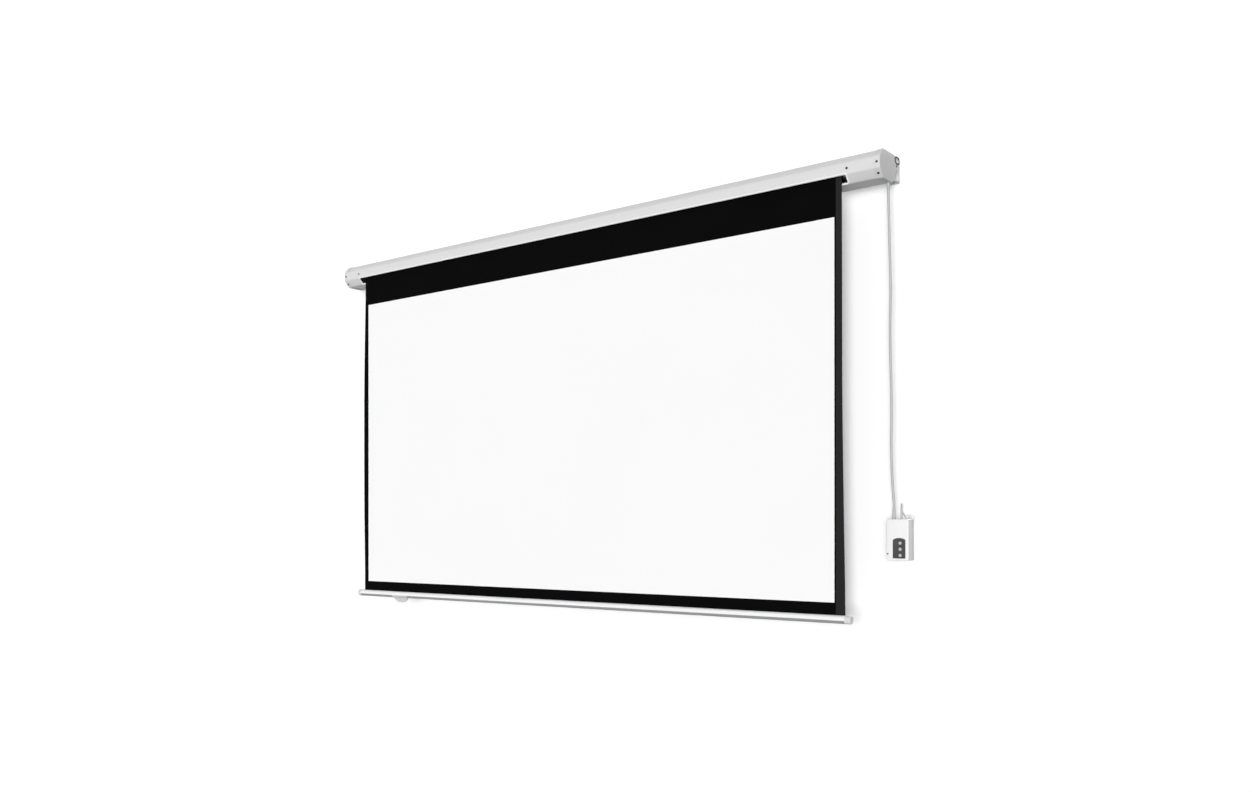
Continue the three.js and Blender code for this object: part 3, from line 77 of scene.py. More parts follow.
MIDDLE_X, CLOTH_Y, _ = node_middle("screen_cloth")
IDLER_END_X = node_corners("idler_end_cap")[0][0]
MOTOR_END_X = node_corners("motor_end_cap")[1][0]
CAP_FOOT_Z = node_corners("motor_end_cap")[0][2]
BOX_LEFT_X, BOX_FRONT_Y, BOX_FOOT_Z = node_corners("control_box_front")[0]
BOX_RIGHT_X, BOX_SPLIT_Y, BOX_TOP_Z = node_corners("control_box_front")[1]
BOX_MIDDLE_Z = (BOX_FOOT_Z + BOX_TOP_Z) / 2
MOTOR_BOOT_X, BOOT_Y, _ = node_middle("motor_boot")
MAINS_BOOT_X = node_middle("mains_boot")[0]
GLAND_X, GLAND_Y, _ = node_middle("cable_gland")


# Camera

PICTURE_WIDTH, PICTURE_HEIGHT = 1252, 792
FOCAL_LENGTH = 1150
PRINCIPAL_X, PRINCIPAL_Y = 480.2, 526.3
SENSOR_WIDTH = 36
CAMERA_PLACE = (3969, -3672, -1143.5)
CAMERA_TURN = 41.9


def set_camera():
    """The photograph's camera: level, turned to the left of the wall's normal, and shifted."""
    data = bpy.data.cameras.new("camera")
    data.sensor_width = SENSOR_WIDTH
    data.lens = SENSOR_WIDTH * FOCAL_LENGTH / PICTURE_WIDTH
    data.shift_x = (PICTURE_WIDTH / 2 - PRINCIPAL_X) / PICTURE_WIDTH
    data.shift_y = (PRINCIPAL_Y - PICTURE_HEIGHT / 2) / PICTURE_WIDTH
    camera = bpy.data.objects.new("camera", data)
    camera.location = [length * MM for length in CAMERA_PLACE]
    camera.rotation_euler = (math.radians(90), 0, math.radians(CAMERA_TURN))
    bpy.context.scene.collection.objects.link(camera)
    bpy.context.scene.camera = camera


# Forms: the points and faces of a piece

CREASE_ANGLE = 35


class Form:
    """The points and faces of one piece, laid loop by loop, in millimetres."""

    def __init__(self):
        self.points = []
        self.faces = []
        self.marks = []

    def loop(self, points):
        start = len(self.points)
        self.points.extend(Vector(point) for point in points)
        return list(range(start, len(self.points)))

    def level(self, outline, y, draw=0):
        """A loop at a depth Y from an outline in X and Z, drawn in by a distance."""
        return self.loop([(x, y, z) for x, z in inset(outline, draw)])

    def face(self, corners, mark=0):
        self.faces.append(tuple(corners))
        self.marks.append(mark)

    def wall(self, first, second, mark=0, closed=True):
        """Quads between two loops of as many points."""
        count = len(first)
        for i in range(count if closed else count - 1):
            j = (i + 1) % count
            self.face((first[i], first[j], second[j], second[i]), mark)

    def skin(self, loops):
        """Quads between each loop and the next."""
        for first, second in zip(loops, loops[1:]):
            self.wall(first, second)

    def fill(self, outline, *holes):
        """A flat face inside an outline, with holes."""
        loops = [outline, *holes]
        index = [i for loop in loops for i in loop]
        for triangle in tessellate_polygon([[self.points[i] for i in loop] for loop in loops]):
            self.face([index[k] for k in triangle])

    def moved(self, matrix):
        self.points = [matrix @ point for point in self.points]
        return self

    def with_form(self, other):
        """This form and another one in the same piece."""
        start = len(self.points)
        self.points.extend(other.points)
        self.faces.extend(tuple(start + i for i in face) for face in other.faces)
        self.marks.extend(other.marks)
        return self


def piece(name, form, materials, slot, *nodes, body="housing"):
    """A piece made from a form. It rides on a CAD body and may stand for CAD nodes."""
    mesh = bpy.data.meshes.new(name)
    mesh.from_pydata([point * MM for point in form.points], [], form.faces)
    for material in materials if isinstance(materials, list) else [materials]:
        mesh.materials.append(material)
    mesh.polygons.foreach_set("material_index", form.marks)
    face_outwards(mesh)
    mesh.shade_smooth()
    mesh.set_sharp_from_angle(angle=math.radians(CREASE_ANGLE))
    made = bpy.data.objects.new(name, mesh)
    bpy.context.scene.collection.objects.link(made)
    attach(made, body)
    if nodes:
        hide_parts(*nodes)
    return made


def face_outwards(mesh):
    work = bmesh.new()
    work.from_mesh(mesh)
    bmesh.ops.recalc_face_normals(work, faces=work.faces)
    work.to_mesh(mesh)
    work.free()
    mesh.update()


def circle(radius, sides, middle=(0, 0)):
    turns = [2 * math.pi * i / sides for i in range(sides)]
    return [(middle[0] + radius * math.cos(t), middle[1] + radius * math.sin(t)) for t in turns]


def hole(radius, middle, sides=32):
    """A round hole's outline, clockwise."""
    return circle(radius, sides, middle)[::-1]


def turned(profile, sides=40):
    """A form turned about Z from (radius, height) pairs, with flat ends."""
    form = Form()
    loops = [form.loop([(x, y, height) for x, y in circle(radius, sides)]) for radius, height in profile]
    form.skin(loops)
    form.face(loops[0])
    form.face(loops[-1])
    return form


def standing(point, direction=(0, 0, 1)):
    """The matrix that puts a form turned about Z at a point, along a direction."""
    turn = Vector((0, 0, 1)).rotation_difference(Vector(direction)).to_matrix().to_4x4()
    return Matrix.Translation(Vector(point)) @ turn


def filleted(corners, setback, steps=6):
    """A polygon's outline with an arc at each corner, which starts a setback before it."""
    outline = []
    for i, corner in enumerate(corners):
        here = Vector(corner)
        back = (Vector(corners[i - 1]) - here).normalized()
        ahead = (Vector(corners[(i + 1) % len(corners)]) - here).normalized()
        half = back.angle(ahead) / 2
        middle = here + (back + ahead).normalized() * (setback / math.cos(half))
        start = here + back * setback - middle
        turn = start.angle_signed(here + ahead * setback - middle)
        for k in range(steps + 1):
            outline.append(tuple(middle + Matrix.Rotation(-turn * k / steps, 2) @ start))
    return outline


def rectangle(low_x, high_x, low_z, high_z, radius):
    return filleted([(low_x, low_z), (high_x, low_z), (high_x, high_z), (low_x, high_z)], radius)


def inset(outline, distance):
    """An outline drawn in by a distance. A hole's outline, which runs clockwise, widens."""
    least_slant = 0.4
    drawn = []
    for i, here in enumerate(outline):
        after = outline[(i + 1) % len(outline)]
        first = (Vector(here) - Vector(outline[i - 1])).normalized()
        second = (Vector(after) - Vector(here)).normalized()
        normal = Vector((-first.y - second.y, first.x + second.x)).normalized()
        reach = distance / max(normal.dot(Vector((-first.y, first.x))), least_slant)
        drawn.append((here[0] + normal.x * reach, here[1] + normal.y * reach))
    return drawn


def rounded_edge(edge, steps=3):
    """Pairs of a depth below the face and how far the outline is drawn in there."""
    angles = [math.pi / 2 * i / steps for i in range(steps + 1)]
    return [(edge * (1 - math.cos(a)), edge * (1 - math.sin(a))) for a in angles]


def slab(outline, front, back, edge=0, holes=()):
    """A plate between two depths, with rounded edges. Its outline lies in X and Z, its depth in Y."""
    fillet = rounded_edge(edge) if edge else [(0, 0)]
    layers = [(front + depth, draw) for depth, draw in fillet]
    layers += [(back - depth, draw) for depth, draw in reversed(fillet)]
    form = Form()
    fronts, backs = [], []
    for contour in (outline, *holes):
        loops = [form.level(contour, y, draw) for y, draw in layers]
        form.skin(loops)
        fronts.append(loops[0])
        backs.append(loops[-1])
    form.fill(*fronts)
    form.fill(*backs)
    return form


# Turns a form made in X, Z and depth Y so that its outline lies in Y and Z and its depth in X
SECTION = Matrix(((0, 1, 0, 0), (1, 0, 0, 0), (0, 0, 1, 0), (0, 0, 0, 1)))


# Lines and cords

def smooth_line(points, steps=6):
    """A smooth line through the points, whose pace follows the root of their spacing."""
    points = [Vector(point) for point in points]
    row = [2 * points[0] - points[1], *points, 2 * points[-1] - points[-2]]
    line = []
    for a, b, c, d in zip(row, row[1:], row[2:], row[3:]):
        t0 = 0
        t1 = t0 + (b - a).length ** 0.5
        t2 = t1 + (c - b).length ** 0.5
        t3 = t2 + (d - c).length ** 0.5
        for i in range(steps):
            t = t1 + (t2 - t1) * i / steps
            ab = a.lerp(b, (t - t0) / (t1 - t0))
            bc = b.lerp(c, (t - t1) / (t2 - t1))
            cd = c.lerp(d, (t - t2) / (t3 - t2))
            abc = ab.lerp(bc, (t - t0) / (t2 - t0))
            bcd = bc.lerp(cd, (t - t1) / (t3 - t1))
            line.append(abc.lerp(bcd, (t - t1) / (t2 - t1)))
    return [*line, points[-1]]


def cord_form(line, radius, sides):
    """A round jacket along a line."""
    form = Form()
    normal = Vector((0, 1, 0))
    loops = []
    for i, point in enumerate(line):
        tangent = (line[min(i + 1, len(line) - 1)] - line[max(i - 1, 0)]).normalized()
        normal = (normal - tangent * normal.dot(tangent)).normalized()
        across = tangent.cross(normal)
        loops.append(form.loop([point + normal * x + across * y for x, y in circle(radius, sides)]))
    form.skin(loops)
    form.face(loops[0])
    form.face(loops[-1])
    return form


# Route of the motor lead: x from the housing's motor end, y and z as they are
MOTOR_LEAD_ROUTE = [
    (-108, -96.45, 0),
    (-82, -96.45, 0),
    (-64, -94.95, 0.6),
    (-45, -80, 0),
    (-28.5, -72.8, -5),
    (-16.2, -69, -17),
    (-10.5, -68, -34),
    (-10.5, -68, -48),
    (-10.5, -68, -60),
    (-10.5, -68, -72),
    (-9.4, -67.8, -130),
    (-7, -67.6, -230),
    (-4.5, -67.4, -330),
    (-3.5, -67, -400),
    (-5.4, -66.6, -490),
    (-4.8, -66, -590),
    (-2.3, -65, -700),
    (-2, -63.8, -790),
    (-3.4, -61.8, -880),
    (-3, -58.6, -960),
    (-0.4, -55.4, -1030),
    (1.5, -52, -1070),
    (1.5, -52, -1082.7),
]
LEAD_RADIUS = 3.75

# The mains lead rises from the box, turns over and comes down into a hank close to the wall
MAINS_RADIUS = 2.5
MAINS_TOP_Z = node_corners("mains_boot")[1][2] + 0.3
TURN_OVER_X, TURN_OVER_Y = 2515, -32.5
HANK_X = 2505
HANK_BACK_Y = -4
HANK_FRONT_Y = -9.5
FOLD_RADIUS = 14.4
REVERSE_TURN = 2.125
LOOP_STEP = 5.8
RUN_LENGTH = 75
LOOPS_PER_LAYER = 2
WAIST_DRAW = 6
CLIMB_TURNS = 0.25
RUN_STEPS = 5
FOLD_STEPS = 7
LEAD_IN_ANGLES = (24, 12)
TAIL_RADIUS = 18
TAIL_LEAD_IN = 6
TAIL_START_SHARE = 0.45
PLUG_X = 2517.175
PLUG_Y = -20.45


def clipped(share):
    return min(max(share, 0), 1)


def smoothstep(share):
    share = clipped(share)
    return share * share * (3 - 2 * share)


def loop_radius(turn):
    return FOLD_RADIUS + LOOP_STEP * abs(REVERSE_TURN - turn)


def hank_point(turn):
    """A point of the hank's turns: down the right run, round the foot, up the left run, over the head."""
    quarter = (turn % 1) * 4
    stage = int(quarter + 1e-6)
    share = quarter - stage
    half = RUN_LENGTH / 2
    side = 1 if stage < 2 else -1
    if stage in (0, 2):
        height = half - share * RUN_LENGTH
        drawn = WAIST_DRAW * math.cos(math.pi * height / RUN_LENGTH) ** 2
        x = side * (loop_radius(turn) - drawn)
        z = side * height
    else:
        x = side * loop_radius(turn) * math.cos(math.pi * share)
        z = -side * (half + loop_radius(turn) * math.sin(math.pi * share))
    climb = smoothstep((turn - LOOPS_PER_LAYER) / CLIMB_TURNS)
    y = HANK_BACK_Y + (HANK_FRONT_Y - HANK_BACK_Y) * climb
    return Vector((HANK_X + x, y, BOX_MIDDLE_Z + z))


def hank_turns():
    """The shares of a turn at which the runs and folds have their points."""
    run = [i / RUN_STEPS / 4 for i in range(RUN_STEPS)]
    fold = [(1 + i / FOLD_STEPS) / 4 for i in range(FOLD_STEPS)]
    half = [*run, *fold]
    one = [*half, *[turn + 0.5 for turn in half]]
    last = 2 * LOOPS_PER_LAYER - 0.25
    turns = [loop + turn for loop in range(2 * LOOPS_PER_LAYER) for turn in one]
    return [turn for turn in turns if turn < last - 1e-6]


def climbing_y(share):
    return HANK_FRONT_Y + (PLUG_Y - HANK_FRONT_Y) * smoothstep(share)


def hank_line():
    """The hank's centre line, with the tail that turns over to the plug."""
    outer = FOLD_RADIUS + LOOP_STEP * REVERSE_TURN
    top = BOX_MIDDLE_Z + RUN_LENGTH / 2
    points = []
    for degrees in LEAD_IN_ANGLES:
        angle = math.radians(degrees)
        x = HANK_X + outer * math.cos(angle)
        points.append(Vector((x, HANK_BACK_Y, top + outer * math.sin(angle))))
    points += [hank_point(turn) for turn in hank_turns()]
    points[-1].y = climbing_y(TAIL_START_SHARE / 2)
    for i in range(FOLD_STEPS + 1):
        angle = math.pi * i / FOLD_STEPS
        share = TAIL_START_SHARE + (1 - TAIL_START_SHARE) * i / FOLD_STEPS
        x = PLUG_X - TAIL_RADIUS * (1 + math.cos(angle))
        points.append(Vector((x, climbing_y(share), top + TAIL_RADIUS * math.sin(angle))))
    points.append(Vector((PLUG_X, PLUG_Y, top - TAIL_LEAD_IN)))
    return points


def mains_line():
    """The whole mains lead: up from its boot, over the top and down into the hank."""
    hank = hank_line()
    rise = MAINS_TOP_Z + 2 * MAINS_RADIUS
    middle = Vector((TURN_OVER_X, TURN_OVER_Y, rise))
    out = Vector((MAINS_BOOT_X, BOOT_Y, rise)) - middle
    points = [Vector((MAINS_BOOT_X, BOOT_Y, MAINS_TOP_Z))]
    for i in range(FOLD_STEPS + 1):
        angle = math.pi * i / FOLD_STEPS
        points.append(middle + out * math.cos(angle) + Vector((0, 0, out.length * math.sin(angle))))
    heading = (hank[1] - hank[0]).normalized()
    points.append(hank[0] - heading * MAINS_RADIUS * 6)
    return [*points, *hank]


def add_motor_lead(jacket):
    line = smooth_line([(MOTOR_END_X + x, y, z) for x, y, z in MOTOR_LEAD_ROUTE])
    lead = piece("motor_lead_jacket", cord_form(line, LEAD_RADIUS, 16), jacket, "lead_jacket", "motor_lead")


def add_mains_lead(jacket):
    line = smooth_line(mains_line(), steps=4)
    form = cord_form(line, MAINS_RADIUS, 12)
    lead = piece("mains_lead_jacket", form, jacket, "lead_jacket", "mains_lead", "mains_hank")


# Materials

def linear(colour):
    """An sRGB hex colour as the linear colour that a socket takes."""
    shares = [int(colour[i:i + 2], 16) / 255 for i in (1, 3, 5)]
    return (*[s / 12.92 if s <= 0.04045 else ((s + 0.055) / 1.055) ** 2.4 for s in shares], 1)


def add(tree, kind, inputs=None, **settings):
    """A node with its settings, whose inputs take a value or another node's output."""
    node = tree.nodes.new(kind)
    for name, value in settings.items():
        setattr(node, name, value)
    for name, value in (inputs or {}).items():
        if isinstance(value, bpy.types.NodeSocket):
            tree.links.new(value, node.inputs[name])
        else:
            node.inputs[name].default_value = value
    return node


def new_material(name, colour, roughness, **sockets):
    """A material with one Principled shader, whose even values are on the shader's own sockets."""
    material = bpy.data.materials.new(name)
    material.use_nodes = True
    shader = material.node_tree.nodes["Principled BSDF"]
    values = {"Base Color": linear(colour), "Roughness": roughness}
    values.update({key.replace("_", " "): value for key, value in sockets.items()})
    for key, value in values.items():
        shader.inputs[key].default_value = value
    return material, material.node_tree, shader


def toned(tree, shader, place, tones, patch):
    """Gives a shader two close tones that change over patches of a size."""
    wide = add(tree, "ShaderNodeTexNoise", {"Vector": place, "Scale": 1 / (patch * MM), "Detail": 4})
    tone = add(tree, "ShaderNodeMix", {0: wide.outputs["Fac"], 6: linear(tones[0]), 7: linear(tones[1])},
               data_type="RGBA")
    tree.links.new(tone.outputs[2], shader.inputs["Base Color"])


def raised(tree, shader, height, depth, strength):
    """Gives a shader a relief of a depth."""
    bump = add(tree, "ShaderNodeBump", {"Height": height, "Distance": depth * MM, "Strength": strength})
    tree.links.new(bump.outputs["Normal"], shader.inputs["Normal"])


def grained(made, grain, depth, strength, tones, patch, stretch=(1, 1, 1)):
    """Gives a material a fine relief of a grain's size and two close tones over wider patches. Moulded and
    plated skins have a grain of a tenth of a millimetre or less, which is drawn at a few tenths to show."""
    material, tree, shader = made
    place = add(tree, "ShaderNodeTexCoord").outputs["Object"]
    scaled = add(tree, "ShaderNodeMapping", {"Vector": place, "Scale": stretch}).outputs["Vector"]
    fine = add(tree, "ShaderNodeTexNoise", {"Vector": scaled, "Scale": 1 / (grain * MM), "Detail": 3})
    raised(tree, shader, fine.outputs["Fac"], depth, strength)
    toned(tree, shader, place, tones, patch)
    return material


def woven(made, tones):
    """Gives a cloth its plain weave. Its threads are drawn at 1.6 mm, four times too wide, so that they
    show."""
    material, tree, shader = made
    thread = 1.6
    place = add(tree, "ShaderNodeTexCoord").outputs["Object"]
    warp, weft = [add(tree, "ShaderNodeTexWave", {"Vector": place, "Scale": 2 * math.pi / (thread * MM) / 20,
                                                  "Distortion": 1.2, "Detail": 1},
                      bands_direction=direction).outputs["Fac"] for direction in ("X", "Z")]
    weave = add(tree, "ShaderNodeMath", {0: warp, 1: weft}, operation="MULTIPLY")
    raised(tree, shader, weave.outputs["Value"], depth=0.08, strength=0.4)
    toned(tree, shader, place, tones, patch=180)
    return material


def powder_coated_steel():
    # Polyester powder coat: satin, with an orange peel about 1.5 mm across that softens highlights
    made = new_material("powder_coated_steel", "#DDDDDD", 0.42)
    return grained(made, grain=1.5, depth=0.05, strength=0.35, tones=("#DFDFDF", "#DADADB"), patch=260)


def powder_coated_bar():
    # The same coat in a whiter tone on the extruded bar
    made = new_material("powder_coated_bar", "#F8F8F8", 0.38)
    return grained(made, grain=1.5, depth=0.05, strength=0.3, tones=("#FAFAFA", "#F5F5F5"), patch=200)


def moulded_cap_abs():
    # Injection-moulded ABS with a fine spark-eroded skin, drawn coarser, which turns the highlight dull
    made = new_material("moulded_cap_abs", "#D9D9D9", 0.55)
    return grained(made, grain=0.6, depth=0.05, strength=0.5, tones=("#DCDCDC", "#D6D6D7"), patch=40)


def white_pvc_screen():
    # Matt white PVC face of the cloth. Its emboss is drawn at 1.2 mm, about twice the real grain.
    made = new_material("white_pvc_screen", "#FAFAFA", 0.95, Specular_IOR_Level=0.15)
    return grained(made, grain=1.2, depth=0.04, strength=0.4, tones=("#FBFBFB", "#F8F8F8"), patch=400)


def black_masking_coat():
    # Matt black masking ink on the cloth's face, which takes almost no light
    made = new_material("black_masking_coat", "#070708", 0.9, Specular_IOR_Level=0.03)
    return woven(made, ("#060607", "#0A0A0B"))


def bare_black_cloth_and_sheen():
    # Dyed glass-fibre cloth past the ink's edge and at the back: a shade greyer, with a faint fibre sheen. On
    # the right edge strip the greyer tone is also painted sheen on the side towards the light.
    made = new_material("bare_black_cloth_and_sheen", "#202021", 0.8, Specular_IOR_Level=0.12)
    return woven(made, ("#1E1E1F", "#252526"))


def extruded_aluminium():
    # Mill-finish tube with die lines along it, drawn a third of a millimetre apart, coarser than real
    made = new_material("extruded_aluminium", "#C4C6C9", 0.36, Metallic=1)
    return grained(made, grain=0.35, depth=0.02, strength=0.5, tones=("#C9CBCE", "#B9BBBF"), patch=60,
                   stretch=(0.01, 1, 1))


def zinc_plated_steel():
    # Clear passivated zinc: bluish grey, with a soft mottling a few millimetres across
    made = new_material("zinc_plated_steel", "#A9ACB0", 0.38, Metallic=1)
    return grained(made, grain=0.5, depth=0.02, strength=0.4, tones=("#B2B5B9", "#9DA0A6"), patch=4)


def blackened_zinc():
    # Black passivated zinc of the screws: dark, with a dull metallic edge
    made = new_material("blackened_zinc", "#434548", 0.42, Metallic=1)
    return grained(made, grain=0.4, depth=0.02, strength=0.4, tones=("#4B4D50", "#393B3E"), patch=3)


def guard_nylon_highlight():
    # Natural white nylon, waxy, and brighter than the paint that it edges: the extra brightness is a painted
    # highlight along the slot's edge
    made = new_material("guard_nylon_highlight", "#FBFBFB", 0.35)
    return grained(made, grain=0.8, depth=0.02, strength=0.3, tones=("#FCFCFC", "#F6F6F6"), patch=30)


def black_nylon():
    # Glass-filled nylon: dull black with a faint fibre bloom
    made = new_material("black_nylon", "#232325", 0.6)
    return grained(made, grain=0.5, depth=0.05, strength=0.5, tones=("#28282A", "#1E1E20"), patch=6)


def grey_abs():
    # Light grey ABS mouldings, dull, a little uneven where the melt met
    made = new_material("grey_abs", "#DADBDC", 0.52)
    return grained(made, grain=0.7, depth=0.05, strength=0.45, tones=("#DEDFE0", "#D4D5D6"), patch=25)


def darker_grey_abs():
    # The pull tab's ABS, a shade darker than the bar's caps and polished a little by handling
    made = new_material("darker_grey_abs", "#CBCCCE", 0.46)
    return grained(made, grain=0.7, depth=0.04, strength=0.4, tones=("#CFD0D2", "#C5C6C8"), patch=18)


def white_abs():
    # Semi-gloss white ABS of the control box, with a fine moulded grain that is drawn coarser
    made = new_material("white_abs", "#F4F4F4", 0.4)
    return grained(made, grain=0.5, depth=0.03, strength=0.35, tones=("#F6F6F6", "#F1F1F1"), patch=30)


def shaded_back_abs():
    # The same ABS in the box's back half, greyer: painted shade on the half that stands back towards the wall
    made = new_material("shaded_back_abs", "#E3E4E4", 0.45)
    return grained(made, grain=0.5, depth=0.03, strength=0.35, tones=("#E6E7E7", "#DFE0E0"), patch=30)


def underside_shade_strip():
    # Extruded PVC strip along the bar's underside, with faint die lines along it. Its mid grey is painted
    # shade under the bar.
    made = new_material("underside_shade_strip", "#96989A", 0.5)
    return grained(made, grain=0.5, depth=0.03, strength=0.4, tones=("#9A9C9E", "#919395"), patch=60,
                   stretch=(0.02, 1, 1))


def printed_keypad():
    # Black polyester overlay, silk-matt and finely textured, so it takes a soft grey sheen
    made = new_material("printed_keypad", "#343436", 0.5)
    return grained(made, grain=0.4, depth=0.04, strength=0.6, tones=("#39393B", "#2F2F31"), patch=9)


def silicone_button():
    # Light grey silicone rubber, matt
    made = new_material("silicone_button", "#C0C1C2", 0.6)
    return grained(made, grain=0.3, depth=0.03, strength=0.4, tones=("#C6C7C8", "#B8B9BB"), patch=5)


def pvc_jacket():
    # Extruded grey PVC with a dull sheen and a faintly uneven skin
    made = new_material("pvc_jacket", "#BDBFC1", 0.5)
    return grained(made, grain=1.2, depth=0.05, strength=0.4, tones=("#C3C5C7", "#B5B7B9"), patch=35)


def soft_pvc_boot():
    # Softer, rubbery PVC of the cord boots, duller than the jacket
    made = new_material("soft_pvc_boot", "#BEC0C1", 0.62)
    return grained(made, grain=0.6, depth=0.05, strength=0.5, tones=("#C3C5C6", "#B7B9BA"), patch=12)


def solder_mask():
    # Green solder mask over glass-fibre laminate, glossy, with the weave showing through
    made = new_material("solder_mask", "#2C6A3C", 0.3)
    return grained(made, grain=0.6, depth=0.03, strength=0.5, tones=("#2F7041", "#265E35"), patch=3)


def nickel_plated_pin():
    # Turned brass pins under bright nickel, a little warm
    made = new_material("nickel_plated_pin", "#CFC6AC", 0.25, Metallic=1)
    return grained(made, grain=0.3, depth=0.01, strength=0.3, tones=("#D5CCB2", "#C6BDA3"), patch=5)


def red_nylon():
    # Dyed nylon of the lower limit screw
    made = new_material("red_nylon", "#A8322D", 0.55)
    return grained(made, grain=0.5, depth=0.04, strength=0.4, tones=("#AE3631", "#9D2D28"), patch=5)


def make_finishes():
    """One material for each finish. The first group has the names of the record's material slots."""
    return {
        "housing_paint": powder_coated_steel(),
        "screen_cloth_black": black_masking_coat(),
        "viewing_white": white_pvc_screen(),
        "roller_aluminium": extruded_aluminium(),
        "zinc_steel": zinc_plated_steel(),
        "dark_plastic": black_nylon(),
        "grey_plastic": grey_abs(),
        "white_plastic": white_abs(),
        "red_plastic": red_nylon(),
        "lead_jacket": pvc_jacket(),
        "circuit_board": solder_mask(),
        "brass": nickel_plated_pin(),

        "bar_paint": powder_coated_bar(),
        "cap_plastic": moulded_cap_abs(),
        "box_back_shaded_plastic": shaded_back_abs(),
        # The bar's underside strip: its grey is painted shade
        "bar_shade_strip": underside_shade_strip(),
        "tab_plastic": darker_grey_abs(),
        "keypad_print": printed_keypad(),
        "button_rubber": silicone_button(),
        "boot_rubber": soft_pvc_boot(),
        "dark_zinc": blackened_zinc(),
        "guard_nylon_highlight": guard_nylon_highlight(),
        "bare_cloth_and_sheen": bare_black_cloth_and_sheen(),
    }


# CAD nodes whose finish isn't their slot's
NODE_FINISHES = {
    "idler_end_cap": "cap_plastic",
    "motor_end_cap": "cap_plastic",
    "bottom_bar": "bar_paint",
    "keypad_panel": "keypad_print",
    "button_up": "button_rubber",
    "button_stop": "button_rubber",
    "button_down": "button_rubber",
    "motor_boot": "boot_rubber",
    "mains_boot": "boot_rubber",
    "cable_gland": "boot_rubber",
}
WELD_GAP = 0.01
CAD_CREASE_ANGLE = 32


def welded_shading():
    """Nodes for a modifier that joins a CAD mesh's loose triangles and shades its bends smooth."""
    tree = bpy.data.node_groups.new("welded_shading", "GeometryNodeTree")
    tree.interface.new_socket("Geometry", in_out="INPUT", socket_type="NodeSocketGeometry")
    tree.interface.new_socket("Geometry", in_out="OUTPUT", socket_type="NodeSocketGeometry")
    given = add(tree, "NodeGroupInput")
    joined = add(tree, "GeometryNodeMergeByDistance", {"Geometry": given.outputs[0],
                                                       "Distance": WELD_GAP * MM})
    round_all = add(tree, "GeometryNodeSetShadeSmooth", {"Geometry": joined.outputs[0], "Shade Smooth": True})
    angle = add(tree, "GeometryNodeInputMeshEdgeAngle").outputs["Unsigned Angle"]
    creased = add(tree, "FunctionNodeCompare", {0: angle, 1: math.radians(CAD_CREASE_ANGLE)},
                  operation="GREATER_THAN")
    sharp = add(tree, "GeometryNodeSetShadeSmooth", {"Geometry": round_all.outputs[0],
                                                     "Selection": creased.outputs[0],
                                                     "Shade Smooth": False}, domain="EDGE")
    add(tree, "NodeGroupOutput", {0: sharp.outputs[0]})
    return tree


def finish_cad_nodes(finishes):
    shading = welded_shading()
    slots = {each["node"]: each["material_slot"] for each in frame["record"]["subparts"]}
    for name, node in frame["nodes"].items():
        node.material_slots[0].material = finishes[NODE_FINISHES.get(name, slots[name])]
        node.modifiers.new("welded_shading", "NODES").node_group = shading


# The cloth

cloth_low, cloth_high = node_corners("screen_cloth")
white_low, white_high = node_corners("viewing_surface")
CLOTH_HALF_WIDTH = (cloth_high[0] - cloth_low[0]) / 2
BORDER = white_low[0] - cloth_low[0]
BARE_EDGE = 19
CLOTH_TOP_Z = cloth_high[2]
WHITE_TOP_Z, WHITE_FOOT_Z = white_high[2], white_low[2]
CLOTH_FOOT_Z = -1436.3
CLOTH_THICKNESS = cloth_high[1] - cloth_low[1]

# How far the cloth stands in front of the roll, and the height over which that fades
ROLL_LEAD, ROLL_LEAD_HEIGHT = 0.6, 800
RIPPLE, RIPPLE_WIDTH, RIPPLE_HEIGHT = 0.4, 170, 310
LEFT_CURL, CURL_MIDDLE_Z, CURL_HALF_HEIGHT = -4.6, -800, 640
LEFT_DRAW, RIGHT_SPREAD = 5, 2.4
FLARE, FLARE_TOP_Z = 13.5, -600
HELD_POWER, EDGE_POWER, CURL_POWER, FLARE_POWER = 0.4, 1.4, 3, 1.6

# A cloth form's marks: the masking ink, the white coat and the bare cloth, whose greyer tone on the right
# edge strip is also painted sheen
INK, WHITE, BARE_AND_SHEEN = range(3)


def cloth_point(x, z, lift):
    """Where a point of the cloth stands. Neither roller nor bar holds its edges between them, so the left one
    curls forward at mid height and draws in above and below, and towards the bar the right one opens out.
    It keeps in front of the roll, so that it lies against it when it is wound up."""
    free = math.sin(math.pi * clipped((z - WHITE_FOOT_Z) / -WHITE_FOOT_Z)) ** HELD_POWER
    outer = max(0, abs(x - MIDDLE_X) - (CLOTH_HALF_WIDTH - BARE_EDGE)) / BARE_EDGE
    roll_front = ROLL_LEAD * clipped(1 + z / ROLL_LEAD_HEIGHT)
    ripple = RIPPLE * (math.sin((x - MIDDLE_X) / RIPPLE_WIDTH) * math.sin(z / RIPPLE_HEIGHT) - 1)
    if x > MIDDLE_X:
        opened = clipped((FLARE_TOP_Z - z) / (FLARE_TOP_Z - CLOTH_FOOT_Z)) ** FLARE_POWER
        sideways = FLARE * opened * outer + RIGHT_SPREAD * free * outer ** EDGE_POWER
        curl = 0
    else:
        wave = 1 - 2 * abs((z - CURL_MIDDLE_Z) / CURL_HALF_HEIGHT) ** CURL_POWER
        sideways = LEFT_DRAW * max(-wave, 0) * free * outer ** EDGE_POWER
        curl = LEFT_CURL * max(wave, 0) * outer ** EDGE_POWER
    return (x + sideways, CLOTH_Y - roll_front + free * (curl + ripple) + lift, z)


def cloth_columns():
    """Columns close together at the curled edges and wide apart in the middle."""
    edge = [-CLOTH_HALF_WIDTH + shift for shift in (0, 0.5, 3, 6, 9, 12, 15, 17.5, BARE_EDGE, 21.5, BORDER)]
    inner = [-1100 + 50 * i for i in range(45)]
    return [MIDDLE_X + x for x in [*edge, *inner, *[-x for x in reversed(edge)]]]


